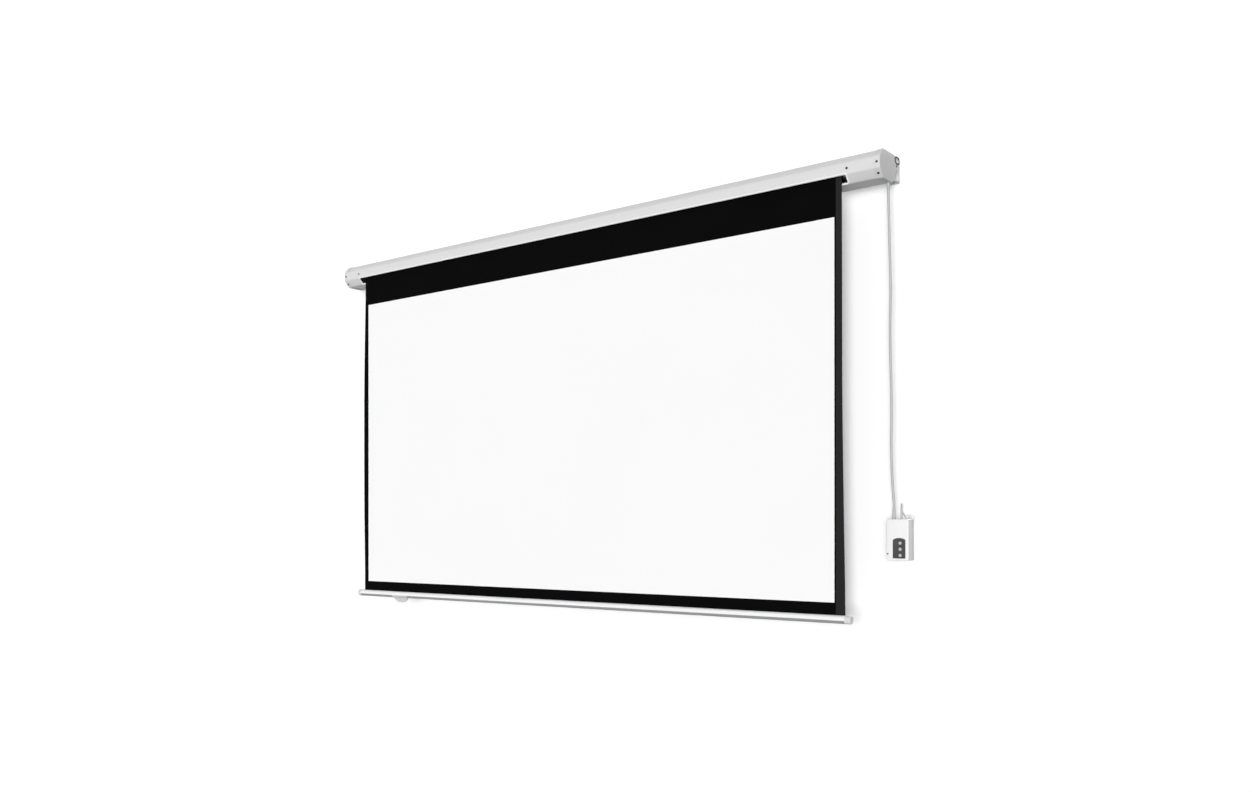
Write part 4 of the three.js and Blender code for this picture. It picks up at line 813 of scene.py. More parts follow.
def cloth_form(rows, is_white):
    """A sheet with a front, a back and edges."""
    form = Form()
    columns = cloth_columns()
    half = CLOTH_THICKNESS / 2
    front, back = [[form.loop([cloth_point(x, z, lift) for x in columns]) for z in rows]
                   for lift in (-half, half)]
    for k in range(len(rows) - 1):
        for i in range(len(columns) - 1):
            x, z = (columns[i] + columns[i + 1]) / 2, (rows[k] + rows[k + 1]) / 2
            # Only the right edge strip is bare: its greyer tone there is partly painted sheen towards the
            # light
            bare_sheen_strip = x - MIDDLE_X > CLOTH_HALF_WIDTH - BARE_EDGE
            mark = BARE_AND_SHEEN if bare_sheen_strip else WHITE if is_white(x, z) else INK
            form.face((front[k][i], front[k][i + 1], front[k + 1][i + 1], front[k + 1][i]), mark)
            form.face((back[k][i], back[k + 1][i], back[k + 1][i + 1], back[k][i + 1]), BARE_AND_SHEEN)
    for end in (0, -1):
        form.wall(front[end], back[end], BARE_AND_SHEEN, closed=False)
        form.wall([row[end] for row in front], [row[end] for row in back], BARE_AND_SHEEN, closed=False)
    return form


def add_cloth(finishes):
    """The cloth down to the white area's foot rides on the housing with a mesh of its own. The strip below
    rides on the bar.
    """
    height = WHITE_TOP_Z - WHITE_FOOT_Z
    rows = [CLOTH_TOP_Z, -20, -45, -70, -95, -120, *[WHITE_TOP_Z - height * i / 30 for i in range(31)]]
    foot = [WHITE_FOOT_Z - (WHITE_FOOT_Z - CLOTH_FOOT_Z) * i / 6 for i in range(7)]
    coats = [finishes["screen_cloth_black"], finishes["viewing_white"], finishes["bare_cloth_and_sheen"]]
    inner = CLOTH_HALF_WIDTH - BORDER
    sheet = cloth_form(rows, lambda x, z: z < WHITE_TOP_Z and abs(x - MIDDLE_X) < inner)
    hung = piece("cloth_sheet", sheet, coats, "screen_cloth_black", "screen_cloth", "viewing_surface")
    strip = piece("cloth_foot_strip", cloth_form(foot, lambda x, z: False), coats, "screen_cloth_black",
                  body="lower_bar")
    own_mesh(hung)


# Ends of the housing

shell_low, shell_high = node_corners("housing_shell")
HOUSING_FRONT_Y, HOUSING_BACK_Y = shell_low[1], shell_high[1]
HOUSING_HALF_HEIGHT = shell_high[2]
FRONT_BEVEL, REAR_BEVEL = 26, 12
BEND = 4
CAP_WALL, CAP_PLATE, CAP_SLEEVE = 1.8, 2.5, 20
CAP_EDGE, CAP_MOUTH_EDGE, CAP_CLEARANCE = 2.4, 0.5, 0.3
SLANT = Vector((0, -1, -1)).normalized()
FRONTWARD = Vector((0, -1, 0))
SCREW_HEAD_RADIUS, SCREW_HEAD_HEIGHT = 4, 2.2
# How deep a small piece sinks into what carries it
SEATING = 0.1

CHEEK_FRONT_Y = node_corners("motor_wall_bracket")[0][1]
BRACKET_TOP_Z, BRACKET_FOOT_Z = node_corners("motor_wall_bracket")[1][2], -36
BRACKET_SHEET, BRACKET_EDGE = 2.5, 0.5
WALL_FLANGE, CARRY_FLANGE = 34, 22
WALL_SCREW_REACH, HANGER_SCREW_REACH = 20, 13.5
WALL_HOLE_RADIUS, HANGER_HOLE_RADIUS = 2.8, 2.3
BRACKET_SCREW_RISE = 30
EYE_MIDDLE_Y, EYE_MIDDLE_Z = -21.6, 32.4
EYE_HALF_WIDTH, EYE_HALF_HEIGHT = 15.5, 9.4
EYELET_RISE, EYELET_OUTSIDE, EYELET_INSIDE, EYELET_EDGE = 1, 4, 2, 0.4
LOCK_SCREW_Y, LOCK_SCREW_Z = -25.5, 14.2


def housing_section(grow):
    """The channel's outline in Y and Z, grown so that its bevels stay parallel."""
    growth = grow * (2 - math.sqrt(2))
    bevel, rear = FRONT_BEVEL + growth, REAR_BEVEL + growth
    front, back, top = HOUSING_FRONT_Y - grow, HOUSING_BACK_Y + grow, HOUSING_HALF_HEIGHT + grow
    corners = [(front, bevel - top), (front + bevel, -top), (back - rear, -top), (back, rear - top),
               (back, top), (front + bevel, top), (front, top - bevel)]
    return filleted(corners, BEND)


def end_cap(outer_x, side):
    """A moulded cap: a plate with a soft rim and a sleeve that goes over the end of the channel."""
    outer, inner = housing_section(CAP_WALL), housing_section(CAP_CLEARANCE)
    layers = [(outer, depth, draw) for depth, draw in rounded_edge(CAP_EDGE, 5)]
    layers += [(outer, CAP_SLEEVE - CAP_MOUTH_EDGE, 0), (outer, CAP_SLEEVE, CAP_MOUTH_EDGE),
               (inner, CAP_SLEEVE, 0), (inner, CAP_PLATE, 0)]
    form = Form()
    loops = [form.level(outline, outer_x - side * depth, draw) for outline, depth, draw in layers]
    form.skin(loops)
    form.fill(loops[0])
    form.fill(loops[-1])
    return form.moved(SECTION)


def cross_head_screw(radius=SCREW_HEAD_RADIUS, height=SCREW_HEAD_HEIGHT):
    """A pan head with a cross recess, standing on Z = 0."""
    dome_shares = [(1, 0), (1, 0.3), (0.94, 0.58), (0.82, 0.82), (0.66, 0.95), (0.5, 1)]
    form = Form()
    loops = [form.loop([(x, y, height * up) for x, y in circle(radius * out, 32)]) for out, up in dome_shares]
    form.skin(loops)
    form.face(loops[0])
    arm, half = radius * 0.46, radius * 0.11
    corner = [(arm, half), (half, half), (half, arm)]
    cross = []
    for turn in range(4):
        cross += corner
        corner = [(-y, x) for x, y in corner]
    rim = form.loop([(x, y, height) for x, y in cross])
    foot = form.loop([(x * 0.6, y * 0.6, height * 0.45) for x, y in cross])
    form.fill(loops[-1], rim)
    form.wall(rim, foot)
    form.fill(foot)
    return form


def eye_outline(grow):
    """The bracket's eye, an oval that is nearly as wide as the cheek."""
    width, height = EYE_HALF_WIDTH + grow, EYE_HALF_HEIGHT + grow
    return [(EYE_MIDDLE_Y + width * x, EYE_MIDDLE_Z + height * z) for x, z in circle(1, 40)]


def drop_outline():
    """The drop-shaped opening of the bracket's cheek, clockwise."""
    foot, radius, tip, waist_share = -18.5, 14.5, 9, 0.55
    arc = [math.pi + math.pi * i / 20 for i in range(21)]
    outline = [(EYE_MIDDLE_Y + radius * math.cos(a), foot + radius * math.sin(a)) for a in arc]
    flank = []
    for t in [i / 8 for i in range(1, 8)]:
        reach = (1 - t) ** 2 * radius + 2 * t * (1 - t) * radius * waist_share
        flank.append((reach, (1 - t) ** 2 * foot + 2 * t * (1 - t) * (foot + radius) + t * t * tip))
    outline += [(EYE_MIDDLE_Y + reach, z) for reach, z in flank]
    outline.append((EYE_MIDDLE_Y, tip))
    outline += [(EYE_MIDDLE_Y - reach, z) for reach, z in reversed(flank)]
    return outline[::-1]


def keyhole(x, z):
    """A round hole with a slot above it, clockwise."""
    wide, narrow, drop = 5, WALL_HOLE_RADIUS, 9
    open_angle = math.asin(narrow / wide)
    start, end = math.pi / 2 + open_angle, math.pi / 2 - open_angle + 2 * math.pi
    lower = [start + (end - start) * i / 20 for i in range(21)]
    outline = [(x + wide * math.cos(a), z - drop + wide * math.sin(a)) for a in lower]
    upper = [math.pi * i / 12 for i in range(13)]
    outline += [(x + narrow * math.cos(a), z + narrow * math.sin(a)) for a in upper]
    return outline[::-1]


def wall_bracket(outer_x, side):
    """Folded steel: a cheek beside the gap, a flange on the wall and a flange behind the cap."""
    height = BRACKET_FOOT_Z, BRACKET_TOP_Z
    face_x = outer_x - side * EYELET_RISE
    # The flanges start inside the cheek and stand a little proud of its edges, so that no faces coincide
    flange_x, proud = face_x - side * 0.4, 0.1

    def reach(length):
        return outer_x - side * length

    openings = [eye_outline(0)[::-1], drop_outline()]
    cheek_outline = rectangle(CHEEK_FRONT_Y + proud, -proud, *height, 4)
    cheek_x = sorted((face_x, face_x - side * BRACKET_SHEET))
    form = slab(cheek_outline, *cheek_x, BRACKET_EDGE, openings).moved(SECTION)
    wall_outline = rectangle(*sorted((flange_x, reach(WALL_FLANGE))), *height, 5)
    screw_x, rise = reach(WALL_SCREW_REACH), BRACKET_SCREW_RISE
    wall_holes = [keyhole(screw_x, rise), hole(WALL_HOLE_RADIUS, (screw_x, -rise))]
    form.with_form(slab(wall_outline, -BRACKET_SHEET, 0, BRACKET_EDGE, wall_holes))
    carry_outline = rectangle(*sorted((flange_x, reach(CARRY_FLANGE))), *height, 4)
    carry_holes = [hole(HANGER_HOLE_RADIUS, (reach(HANGER_SCREW_REACH), z)) for z in (rise, -rise)]
    carry_back = CHEEK_FRONT_Y + BRACKET_SHEET
    return form.with_form(slab(carry_outline, CHEEK_FRONT_Y, carry_back, BRACKET_EDGE, carry_holes))


def add_housing_end(finishes, name, outer_x, side):
    """One end's cap and screws, and its bracket, whose eye has a black ring with a lock screw under it. The
    ring is a grommet, and its black also stands for painted shade round the eye.
    """
    piece(f"{name}_cap_moulding", end_cap(outer_x, side), finishes["cap_plastic"], "housing_paint",
          f"{name}_end_cap")
    piece(f"{name}_bracket_folded", wall_bracket(outer_x, side), finishes["housing_paint"], "housing_paint",
          f"{name}_wall_bracket")
    seat_x = outer_x - side * (EYELET_RISE + SEATING)
    # The black ring round the eye is a grommet and partly painted shade at the eye's edge
    ring_hole = eye_outline(-EYELET_INSIDE)[::-1]
    ring = slab(eye_outline(EYELET_OUTSIDE), *sorted((outer_x, seat_x)), EYELET_EDGE, [ring_hole])
    piece(f"{name}_bracket_shade_eyelet", ring.moved(SECTION), finishes["dark_plastic"], "dark_plastic")
    at = standing((seat_x, LOCK_SCREW_Y, LOCK_SCREW_Z), (side, 0, 0))
    lock = cross_head_screw(height=EYELET_RISE + SEATING).moved(at)
    piece(f"{name}_bracket_lock_screw", lock, finishes["dark_zinc"], "zinc_steel")
    screw_x, sunk = outer_x - side * CAP_SLEEVE / 2, CAP_WALL - SEATING
    slant_middle = (screw_x, HOUSING_FRONT_Y + FRONT_BEVEL / 2, FRONT_BEVEL / 2 - HOUSING_HALF_HEIGHT)
    plate_x = node_middle(f"{name}_plate_screw")[0]
    seats = {
        "cap_screw_front": ((screw_x, HOUSING_FRONT_Y - sunk, 0), FRONTWARD),
        "cap_screw_slant": (Vector(slant_middle) + SLANT * sunk, SLANT),
        "plate_screw": ((plate_x, HOUSING_FRONT_Y + SEATING, 0), FRONTWARD),
    }
    for screw, (seat, outward) in seats.items():
        head = cross_head_screw().moved(standing(seat, outward))
        piece(f"{name}_{screw}_head", head, finishes["dark_zinc"], "zinc_steel", f"{name}_{screw}")


# Edge guard round the slot

SLOT_TOP = Vector((HOUSING_FRONT_Y, FRONT_BEVEL - HOUSING_HALF_HEIGHT))
SLOT_FOOT = Vector((-136.54, -41.46))
SLOT_HALF_LENGTH = 1150
GUARD_RADIUS = 2.7
GUARD_SETBACK = 2.5
GUARD_CORNER = 3
# How far the bead's top goes up the housing's front, and how far it stands off the sheet
GUARD_RISE, GUARD_LIFT = 2, 0.2


def slot_guard():
    """A white nylon bead that keeps the sheet metal's cut edge off the cloth, round the whole slot. Its
    brighter white is a painted highlight along the slot's edge.
    """
    slope = SLOT_FOOT - SLOT_TOP
    along = slope.normalized()
    outward = Vector((along.y, -along.x))
    reach = SLOT_HALF_LENGTH + GUARD_SETBACK
    ring = rectangle(-reach, reach, -slope.length - GUARD_SETBACK, GUARD_RISE, GUARD_CORNER)
    form = Form()
    loops = []
    for i, (u, v) in enumerate(ring):
        before, after = Vector(ring[i - 1]), Vector(ring[(i + 1) % len(ring)])
        normal = Vector((after.y - before.y, before.x - after.x)).normalized()
        on_sheet = SLOT_TOP + (Vector((0, v)) if v > 0 else -along * v)
        points = []
        for x, y in circle(GUARD_RADIUS, 12):
            here = on_sheet - along * normal.y * x + outward * (y + GUARD_LIFT)
            points.append((MIDDLE_X + u + normal.x * x, here.x, here.y))
        loops.append(form.loop(points))
    form.skin([*loops, loops[0]])
    return form


# Control box

BOX_BACK_Y = node_corners("control_box_back")[1][1]
BOX_WALL = 2
BOX_CORNER = 5
BOX_FRONT_EDGE, BOX_BACK_EDGE = 2.2, 1.2
# Each half stops this far from the split, draws in over its last millimetre, and has a ledge inside that
SEAM, SEAM_DRAW, SEAM_RUN, SEAM_LEDGE = 0.3, 0.7, 1, 1.7
LIP_LENGTH, LIP_WALL, LIP_CLEARANCE = 2, 1.5, 0.3

keypad_low, keypad_high = node_corners("keypad_panel")
KEYPAD_MIDDLE_X = (keypad_low[0] + keypad_high[0]) / 2
KEYPAD_HALF_WIDTH = (keypad_high[0] - keypad_low[0]) / 2
KEYPAD_FOOT_Z = keypad_low[2]
KEYPAD_ARCH = 6
KEYPAD_SHOULDER_Z = keypad_high[2] - KEYPAD_ARCH
KEYPAD_FACE_Y = keypad_low[1]
KEYPAD_THICKNESS, KEYPAD_EDGE, KEYPAD_CORNER = 1.6, 0.5, 1.2
KEYPAD_FIELD_DEPTH, KEYPAD_BORDER, KEYPAD_BORDER_SLOPE = 0.4, 1.8, 0.3
SEAT_CLEARANCE, SEAT_DEPTH, SEAT_EDGE, SEAT_LEDGE = 0.5, 0.9, 0.5, 3

BUTTON_X = node_middle("button_stop")[0]
BUTTON_HEIGHTS = {name: node_middle(f"button_{name}")[2] for name in ("up", "stop", "down")}
CASE_SCREW_X, _, CASE_SCREW_Z = node_middle("case_screw")
CASE_SCREW_RADIUS, CASE_SCREW_HEIGHT, CASE_SCREW_GAP = 2.4, 1.2, 0.1


def box_outline(shrink=0):
    return rectangle(BOX_LEFT_X + shrink, BOX_RIGHT_X - shrink, BOX_FOOT_Z + shrink, BOX_TOP_Z - shrink,
                     BOX_CORNER - shrink)


def keypad_outline(grow=0):
    """Straight sides and foot, and an arched top, with small rounded corners."""
    half, foot = KEYPAD_HALF_WIDTH + grow, KEYPAD_FOOT_Z - grow
    shoulder = KEYPAD_SHOULDER_Z + grow
    radius = (half * half + KEYPAD_ARCH ** 2) / (2 * KEYPAD_ARCH)
    sweep = math.asin(half / radius)
    middle_z = shoulder + KEYPAD_ARCH - radius
    corners = [(KEYPAD_MIDDLE_X - half, foot), (KEYPAD_MIDDLE_X + half, foot),
               (KEYPAD_MIDDLE_X + half, shoulder), (KEYPAD_MIDDLE_X - half, shoulder)]
    steps = 4
    rounded = filleted(corners, KEYPAD_CORNER, steps)
    arch = [sweep - 2 * sweep * i / 24 for i in range(1, 24)]
    top = [(KEYPAD_MIDDLE_X + radius * math.sin(a), middle_z + radius * math.cos(a)) for a in arch]
    three_corners = 3 * (steps + 1)
    return rounded[:three_corners] + top + rounded[three_corners:]


def control_box_front():
    """The front half, hollow, with a seat for the keypad and a window behind it."""
    form = Form()
    outer, inner = box_outline(), box_outline(BOX_WALL)
    floor_y, ledge_y = BOX_FRONT_Y + BOX_WALL, BOX_FRONT_Y + SEAT_DEPTH
    shell = [form.level(outer, BOX_FRONT_Y + depth, draw) for depth, draw in rounded_edge(BOX_FRONT_EDGE, 5)]
    shell += [form.level(outer, BOX_SPLIT_Y - SEAM_RUN), form.level(outer, BOX_SPLIT_Y - SEAM, SEAM_DRAW),
              form.level(inner, BOX_SPLIT_Y - SEAM), form.level(inner, floor_y)]
    seat, window = keypad_outline(SEAT_CLEARANCE), keypad_outline(-SEAT_LEDGE)
    rim = [form.level(seat, BOX_FRONT_Y, -SEAT_EDGE), form.level(seat, BOX_FRONT_Y + SEAT_EDGE),
           form.level(seat, ledge_y)]
    opening = [form.level(window, ledge_y), form.level(window, floor_y)]
    for loops in (shell, rim, opening):
        form.skin(loops)
    form.fill(shell[0], rim[0])
    form.fill(rim[-1], opening[0])
    form.fill(shell[-1], opening[-1])
    return form


def control_box_back():
    """The back half, hollow, with a lip inside the front half and a groove left open at the seam."""
    form = Form()
    outer, lip = box_outline(), box_outline(BOX_WALL + LIP_CLEARANCE)
    deep = box_outline(BOX_WALL + LIP_CLEARANCE + LIP_WALL)
    seam_y, lip_y = BOX_SPLIT_Y + SEAM, BOX_SPLIT_Y - LIP_LENGTH
    skin = [form.level(outer, seam_y, SEAM_DRAW), form.level(outer, BOX_SPLIT_Y + SEAM_RUN)]
    fillet = reversed(rounded_edge(BOX_BACK_EDGE))
    skin += [form.level(outer, BOX_BACK_Y - depth, draw) for depth, draw in fillet]
    lining = [skin[0], form.level(outer, seam_y, SEAM_LEDGE), form.level(lip, seam_y), form.level(lip, lip_y),
              form.level(deep, lip_y), form.level(deep, BOX_BACK_Y - BOX_WALL)]
    for loops in (skin, lining):
        form.skin(loops)
        form.fill(loops[-1])
    return form


def hanging_ear():
    """The flat ear at the top corner of the box's back, with a round rim about its hole."""
    middle_x, middle_z, half_width, rise = BOX_RIGHT_X - 12, BOX_TOP_Z + 6, 14, 9.8
    root_z, root_draw, thickness, edge = BOX_TOP_Z - 10, 2, 3, 0.6
    arc = [math.pi * i / 24 for i in range(25)]
    top = [(middle_x + half_width * math.cos(a), middle_z - 1 + rise * math.sin(a)) for a in arc]
    outline = [(middle_x - half_width, root_z), (middle_x + half_width - root_draw, root_z), *top]
    eye, eye_radius, rim_radius, rim_height, rim_edge = (middle_x, middle_z + 0.6), 4.2, 6.4, 1, 0.4
    front_y = BOX_BACK_Y - thickness
    # The ear's back stands a little proud of the box's, so that the two faces don't coincide
    ear = slab(outline, front_y, BOX_BACK_Y + 0.1, edge, [hole(eye_radius, eye)])
    return ear.with_form(slab(circle(rim_radius, 40, eye), front_y - rim_height, front_y, rim_edge,
                              [hole(eye_radius, eye)]))


def keypad_plate():
    """The keypad's plate: a raised border, a field a little lower, and a collar round each button."""
    form = Form()
    outer, inside = keypad_outline(), KEYPAD_BORDER + KEYPAD_BORDER_SLOPE
    field_y, back_y = KEYPAD_FACE_Y + KEYPAD_FIELD_DEPTH, KEYPAD_FACE_Y + KEYPAD_THICKNESS
    shell = [form.level(outer, KEYPAD_FACE_Y + depth, draw) for depth, draw in rounded_edge(KEYPAD_EDGE)]
    shell.append(form.level(outer, back_y))
    border = form.level(keypad_outline(-KEYPAD_BORDER), KEYPAD_FACE_Y)
    field = form.level(keypad_outline(-inside), field_y)
    form.skin(shell)
    form.skin([border, field])
    form.fill(shell[0], border)
    collar = [(6.7, field_y), (6.3, KEYPAD_FACE_Y), (5.6, KEYPAD_FACE_Y), (5.3, KEYPAD_FACE_Y + 0.3),
              (5.3, back_y)]
    feet, backs = [], []
    for z in BUTTON_HEIGHTS.values():
        loops = [form.level(hole(radius, (BUTTON_X, z)), y) for radius, y in collar]
        form.skin(loops)
        feet.append(loops[0])
        backs.append(loops[-1])
    form.fill(field, *feet)
    form.fill(shell[-1], *backs)
    return form


def button_cap(z):
    """A rubber button: a domed cap on a flange."""
    radius, flange, shoulder, dome_radius, dome = 5, 6.1, 1.9, 4.1, 0.5
    profile = [(flange, -2.2), (flange, -0.9), (radius, -0.9), (radius, 1), (radius - 0.3, 1.5)]
    quarter = [math.pi / 2 * i / 5 for i in range(5)]
    profile += [(dome_radius * math.cos(a), shoulder + dome * math.sin(a)) for a in quarter]
    profile.append((0.2, shoulder + dome))
    return turned(profile).moved(standing((BUTTON_X, BOX_FRONT_Y, z), FRONTWARD))


def cord_boot(base, tip, length, ribs):
    """A tapered sleeve with a foot ring and shallow grooves that let it bend."""
    ring_height, ring_step, groove = 2.4, 1.1, 0.55
    first_rib, end_allowance, taper_power = 3.4, 6, 1.6
    profile = [(base, 0), (base, ring_height), (base - 0.5, 3), (base - ring_step, 3.2)]
    pitch = (length - end_allowance) / ribs
    for i in range(ribs):
        for share, depth in ((0, 0), (0.5, 0), (0.62, groove), (0.88, groove)):
            height = first_rib + (i + share) * pitch
            drawn = (base - ring_step - tip) * (1 - (1 - height / length) ** taper_power)
            profile.append((base - ring_step - drawn - depth, height))
    profile += [(tip, length - 2), (tip - 0.1, length - 0.4), (tip - 0.5, length), (tip - 0.9, length)]
    return turned(profile, 32)


def add_control_box(finishes):
    """The box's halves and ear, its keypad, buttons and screw, and the boots and the gland of the leads."""
    boot = finishes["boot_rubber"]
    piece("box_front_shell", control_box_front(), finishes["white_plastic"], "white_plastic",
          "control_box_front")
    # The back half and its ear take the greyer copy of the ABS, which is painted shade
    piece("box_back_shell", control_box_back(), finishes["box_back_shaded_plastic"], "white_plastic",
          "control_box_back")
    piece("box_hanging_ear", hanging_ear(), finishes["box_back_shaded_plastic"], "white_plastic")
    piece("keypad_plate", keypad_plate(), finishes["keypad_print"], "dark_plastic", "keypad_panel")
    for name, z in BUTTON_HEIGHTS.items():
        piece(f"button_cap_{name}", button_cap(z), finishes["button_rubber"], "grey_plastic",
              f"button_{name}", body=f"button_{name}")
    at = standing((CASE_SCREW_X, BOX_FRONT_Y - CASE_SCREW_GAP, CASE_SCREW_Z), FRONTWARD)
    piece("case_screw_head", cross_head_screw(CASE_SCREW_RADIUS, CASE_SCREW_HEIGHT).moved(at),
          finishes["dark_zinc"], "zinc_steel", "case_screw")
    at = standing((MOTOR_BOOT_X, BOOT_Y, BOX_TOP_Z))
    piece("motor_lead_boot", cord_boot(7, 4.7, 38, 6).moved(at), boot, "grey_plastic", "motor_boot")
    at = standing((MAINS_BOOT_X, BOOT_Y, BOX_TOP_Z))
    piece("mains_lead_boot", cord_boot(4.7, 3.2, 22, 4).moved(at), boot, "grey_plastic", "mains_boot")
    at = standing((GLAND_X, GLAND_Y, CAP_FOOT_Z), (0, 0, -1))
    piece("housing_gland", cord_boot(7.4, 4.6, 24, 3).moved(at), boot, "grey_plastic", "cable_gland")


# Bar ends, the bar's painted-shade strip and pull tab

bar_low, bar_high = node_corners("bottom_bar")
BAR_RADIUS = (bar_high[1] - bar_low[1]) / 2
BAR_Z = bar_low[2] + BAR_RADIUS
BAR_HALF_LENGTH = (bar_high[0] - bar_low[0]) / 2
BAR_PLUG_RISE = 0.7
STRIP_RISE, STRIP_SETBACK = 0.4, 1


def add_bar_ends(finishes):
    """Moulded plugs that close the bar's ends, each with a rim, a groove and a dished face."""
    radius, groove, rounding, sleeve, dome = BAR_RADIUS + BAR_PLUG_RISE, 0.5, 5, 14.5, 6.2
    profile = [(BAR_RADIUS + 0.1, 0), (radius, 0.4), (radius, 3.2), (radius - groove, 3.6),
               (radius - groove, 4.4), (radius, 4.8), (radius, sleeve)]
    quarter = [math.pi / 2 * i / 6 for i in range(1, 7)]
    profile += [(radius - rounding + rounding * math.cos(a), sleeve + dome * math.sin(a)) for a in quarter]
    profile += [(radius - 6, 20.7), (radius - 6.8, 20.1), (3, 19.9), (2.6, 19.4), (0.3, 19.4)]
    for name, side in (("left", -1), ("right", 1)):
        at = standing((MIDDLE_X + side * BAR_HALF_LENGTH, CLOTH_Y, BAR_Z), (side, 0, 0))
        piece(f"bar_plug_{name}", turned(profile, 48).moved(at), finishes["grey_plastic"], "grey_plastic",
              f"bar_cap_{name}", body="lower_bar")


def add_bar_shade_strip(finishes):
    """A grey strip clipped round the bar's underside, over the channel that holds the pull tab. Its grey is
    painted shade under the bar.
    """
    outer, inner = BAR_RADIUS + STRIP_RISE, BAR_RADIUS - SEATING
    sweep = [math.radians(193 + 154 * i / 24) for i in range(25)]
    section = [(CLOTH_Y + radius * math.cos(a), BAR_Z + radius * math.sin(a))
               for radius, angles in ((outer, sweep), (inner, sweep[::-1])) for a in angles]
    reach = BAR_HALF_LENGTH - STRIP_SETBACK
    strip = slab(section, MIDDLE_X - reach, MIDDLE_X + reach).moved(SECTION)
    piece("bar_underside_shade_strip", strip, finishes["bar_shade_strip"], "grey_plastic", body="lower_bar")


tab_low, tab_high = node_corners("pull_tab")
TAB_MIDDLE_X = (tab_low[0] + tab_high[0]) / 2
TAB_HALF_LENGTH = (tab_high[0] - tab_low[0]) / 2
TAB_TOP_Z = BAR_Z - 3
TAB_FOOT_Z = tab_low[2]
TAB_GRIP, TAB_GRIP_EDGE = 9, 4
SADDLE_RISE, SADDLE_GAP, SADDLE_EDGE = 2.1, 0.3, 0.6


def tab_half_width(z):
    """Half the tab's width at a height: a half ellipse that hangs from its top."""
    return TAB_HALF_LENGTH * math.sqrt(max(1 - ((TAB_TOP_Z - z) / (TAB_TOP_Z - TAB_FOOT_Z)) ** 2, 0))


def tab_rim(draw):
    """The grip's outline below the bar, drawn in along its round edge."""
    half, drop = TAB_HALF_LENGTH - draw, TAB_TOP_Z - TAB_FOOT_Z - draw
    start = math.asin((TAB_TOP_Z - BAR_Z + BAR_RADIUS - SADDLE_EDGE) / drop)
    arc = [math.pi + start + (math.pi - 2 * start) * i / 40 for i in range(41)]
    return [(TAB_MIDDLE_X + half * math.cos(a), TAB_TOP_Z + drop * math.sin(a)) for a in arc]


def tab_saddle():
    """The tab's upper part, which holds the bar from below. Its ends follow the tab's half ellipse."""
    outer, inner = BAR_RADIUS + SADDLE_RISE, BAR_RADIUS + SADDLE_GAP
    sweep = [math.radians(192 + 156 * i / 28) for i in range(29)]
    form = Form()
    loops = []
    for share in [-1, -0.985, *[-0.95 + 0.19 * i for i in range(11)], 0.985, 1]:
        skin = outer - SADDLE_EDGE if abs(share) == 1 else outer
        points = []
        for radius, angles in ((skin, sweep), (inner, sweep[::-1])):
            for a in angles:
                y, z = CLOTH_Y + radius * math.cos(a), BAR_Z + radius * math.sin(a)
                points.append((TAB_MIDDLE_X + share * tab_half_width(max(z, TAB_FOOT_Z)), y, z))
        loops.append(form.loop(points))
    form.skin(loops)
    last = len(sweep) * 2 - 1
    for end in (loops[0], loops[-1]):
        for i in range(len(sweep) - 1):
            form.face((end[i], end[i + 1], end[last - i - 1], end[last - i]))
    return form


def pull_tab():
    """A half-round grip under the bar, with a saddle over it."""
    layers = [(depth - TAB_GRIP / 2, draw) for depth, draw in rounded_edge(TAB_GRIP_EDGE, 5)]
    layers += [(-shift, draw) for shift, draw in reversed(layers)]
    form = Form()
    loops = [form.loop([(x, CLOTH_Y + shift, z) for x, z in tab_rim(draw)]) for shift, draw in layers]
    form.skin(loops)
    form.fill(loops[0])
    form.fill(loops[-1])
    return form.with_form(tab_saddle())


# Stage and light

WALL_Y, WALL_TOP_Z = 1, 4000
FLOOR_Z, FLOOR_FRONT_Y = -2900, -9000
COVE_RADIUS = 400
STAGE_REACH = 9000
WALL_GLOW, FLOOR_GLOW = 0.24, 0.47
SUN_WIDTH = 24
KEY_LEVEL, BACK_LEVEL = 0.83, 0.75
FILL_LEVEL, FLOOR_FILL_LEVEL = 0.26, 0.1


def seen_plainly(tree):
    """1 for rays that show a surface to the camera, straight, mirrored or through glass, and 0 for the rays
    that light."""
    path = add(tree, "ShaderNodeLightPath").outputs
    seen = add(tree, "ShaderNodeMath", {0: path["Is Camera Ray"], 1: path["Is Glossy Ray"]},
               operation="MAXIMUM")
    return add(tree, "ShaderNodeMath", {0: seen.outputs[0], 1: path["Is Transmission Ray"]},
               operation="MAXIMUM").outputs[0]


def studio_surface(name, glow):
    """Pale paint that shows as white to the camera and keeps shadows. Its back lets the camera through."""
    material, tree, shader = new_material(name, "#E8E8E8", 1, Specular_IOR_Level=0)
    lift = add(tree, "ShaderNodeMath", {0: seen_plainly(tree), 1: glow}, operation="MULTIPLY")
    light = add(tree, "ShaderNodeEmission", {"Color": (1, 1, 1, 1), "Strength": lift.outputs[0]})
    lit = add(tree, "ShaderNodeAddShader", {0: shader.outputs[0], 1: light.outputs[0]})
    clear = add(tree, "ShaderNodeBsdfTransparent")
    behind = add(tree, "ShaderNodeNewGeometry").outputs["Backfacing"]
    shown = add(tree, "ShaderNodeMixShader", {0: behind, 1: lit.outputs[0], 2: clear.outputs[0]})
    tree.links.new(shown.outputs[0], tree.nodes["Material Output"].inputs["Surface"])
    return material


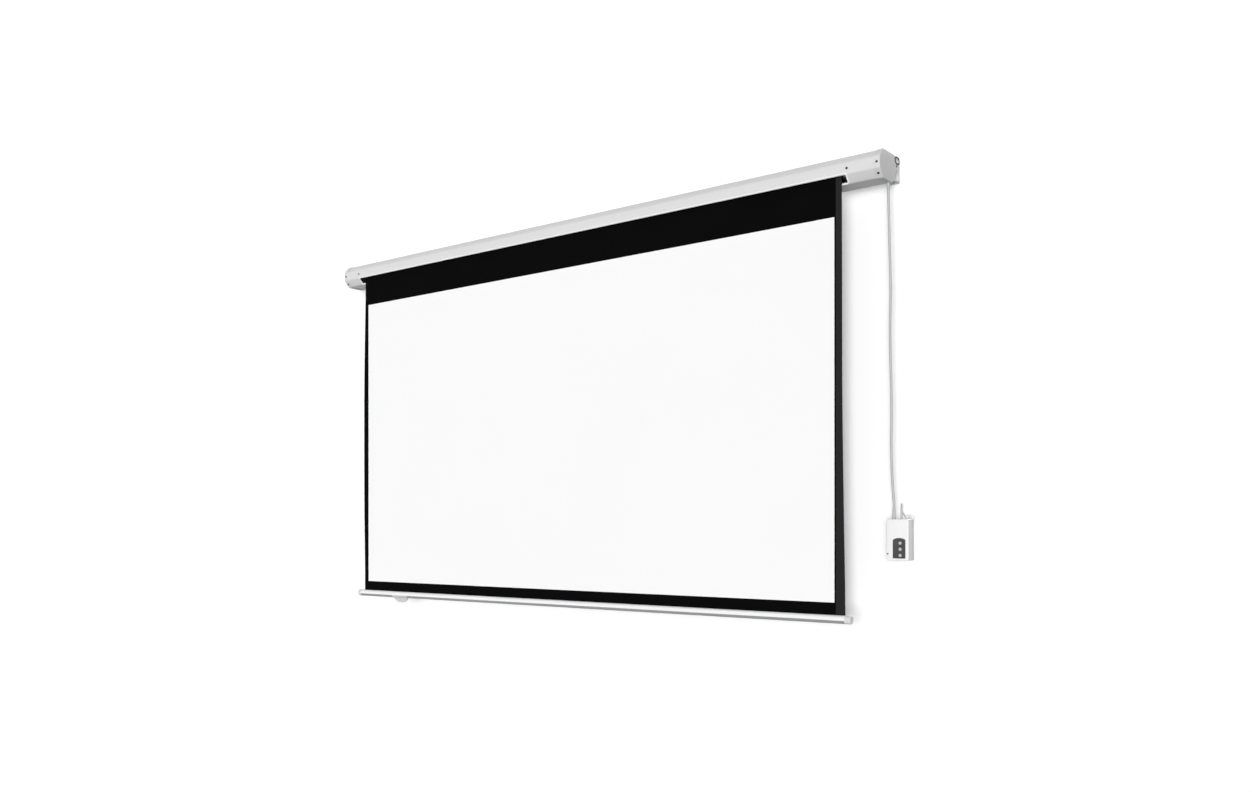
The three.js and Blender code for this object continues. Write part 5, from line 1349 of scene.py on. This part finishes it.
def add_stage():
    """A wall behind the object and a floor, joined by a cove."""
    quarter = [math.pi / 2 * i / 12 for i in range(13)]
    cove = [(WALL_Y - COVE_RADIUS * (1 - math.cos(a)), FLOOR_Z + COVE_RADIUS * (1 - math.sin(a)))
            for a in quarter]
    profile = [(WALL_Y, WALL_TOP_Z), *cove, (FLOOR_FRONT_Y, FLOOR_Z)]
    form = Form()
    ends = [form.loop([(MIDDLE_X + side * STAGE_REACH, y, z) for y, z in profile]) for side in (-1, 1)]
    for i in range(len(profile) - 1):
        form.face((ends[0][i], ends[0][i + 1], ends[1][i + 1], ends[1][i]), 0 if i == 0 else 1)
    mesh = bpy.data.meshes.new("studio")
    mesh.from_pydata([point * MM for point in form.points], [], form.faces)
    mesh.polygons.foreach_set("material_index", form.marks)
    mesh.materials.append(studio_surface("studio_wall", WALL_GLOW))
    mesh.materials.append(studio_surface("studio_floor", FLOOR_GLOW))
    studio = bpy.data.objects.new("studio", mesh)
    studio.visible_diffuse = False
    studio.visible_shadow = False
    bpy.context.scene.collection.objects.link(studio)


def add_sun(name, level, aim):
    """A soft sun that shines along a direction. At level 1 a surface that faces it renders as written."""
    sun = bpy.data.lights.new(name, "SUN")
    sun.energy = level * math.pi
    sun.angle = math.radians(SUN_WIDTH)
    lamp = bpy.data.objects.new(name, sun)
    lamp.rotation_euler = Vector(aim).to_track_quat("-Z", "Y").to_euler()
    bpy.context.scene.collection.objects.link(lamp)


def add_light():
    """A broad key from the front, a little to the right and below, a sun from behind for views of the back,
    and an even fill that fades towards the floor."""
    aside, rise, slope = math.radians(20), math.radians(2.5), math.radians(35)
    add_sun("key", KEY_LEVEL, (-math.sin(aside), math.cos(aside), math.sin(rise)))
    add_sun("back", BACK_LEVEL, (0, -math.cos(slope), -math.sin(slope)))
    world = bpy.data.worlds.new("studio")
    world.use_nodes = True
    bpy.context.scene.world = world
    tree = world.node_tree
    direction = add(tree, "ShaderNodeTexCoord").outputs["Generated"]
    height = add(tree, "ShaderNodeSeparateXYZ", {"Vector": direction}).outputs["Z"]
    fill = add(tree, "ShaderNodeMapRange", {"Value": height, "From Min": -1, "From Max": 0,
                                            "To Min": FLOOR_FILL_LEVEL, "To Max": FILL_LEVEL})
    level = add(tree, "ShaderNodeMix", {0: seen_plainly(tree), 2: fill.outputs[0], 3: 1.0}, data_type="FLOAT")
    sky = tree.nodes["Background"]
    sky.inputs["Color"].default_value = (1, 1, 1, 1)
    tree.links.new(level.outputs[0], sky.inputs["Strength"])


# Assembly

set_camera()
finishes = make_finishes()
add_motor_lead(finishes["lead_jacket"])
add_mains_lead(finishes["lead_jacket"])
finish_cad_nodes(finishes)
add_cloth(finishes)
add_housing_end(finishes, "idler", IDLER_END_X, -1)
add_housing_end(finishes, "motor", MOTOR_END_X, 1)
# The guard's brighter white is a painted highlight along the slot's edge
piece("slot_edge_guard", slot_guard(), finishes["guard_nylon_highlight"], "white_plastic")
add_control_box(finishes)
add_bar_ends(finishes)
# The grey strip under the bar is painted shade
add_bar_shade_strip(finishes)
piece("pull_tab_moulding", pull_tab(), finishes["tab_plastic"], "grey_plastic", "pull_tab", body="lower_bar")
add_stage()
add_light()
bpy.context.scene.view_settings.view_transform = "Standard"
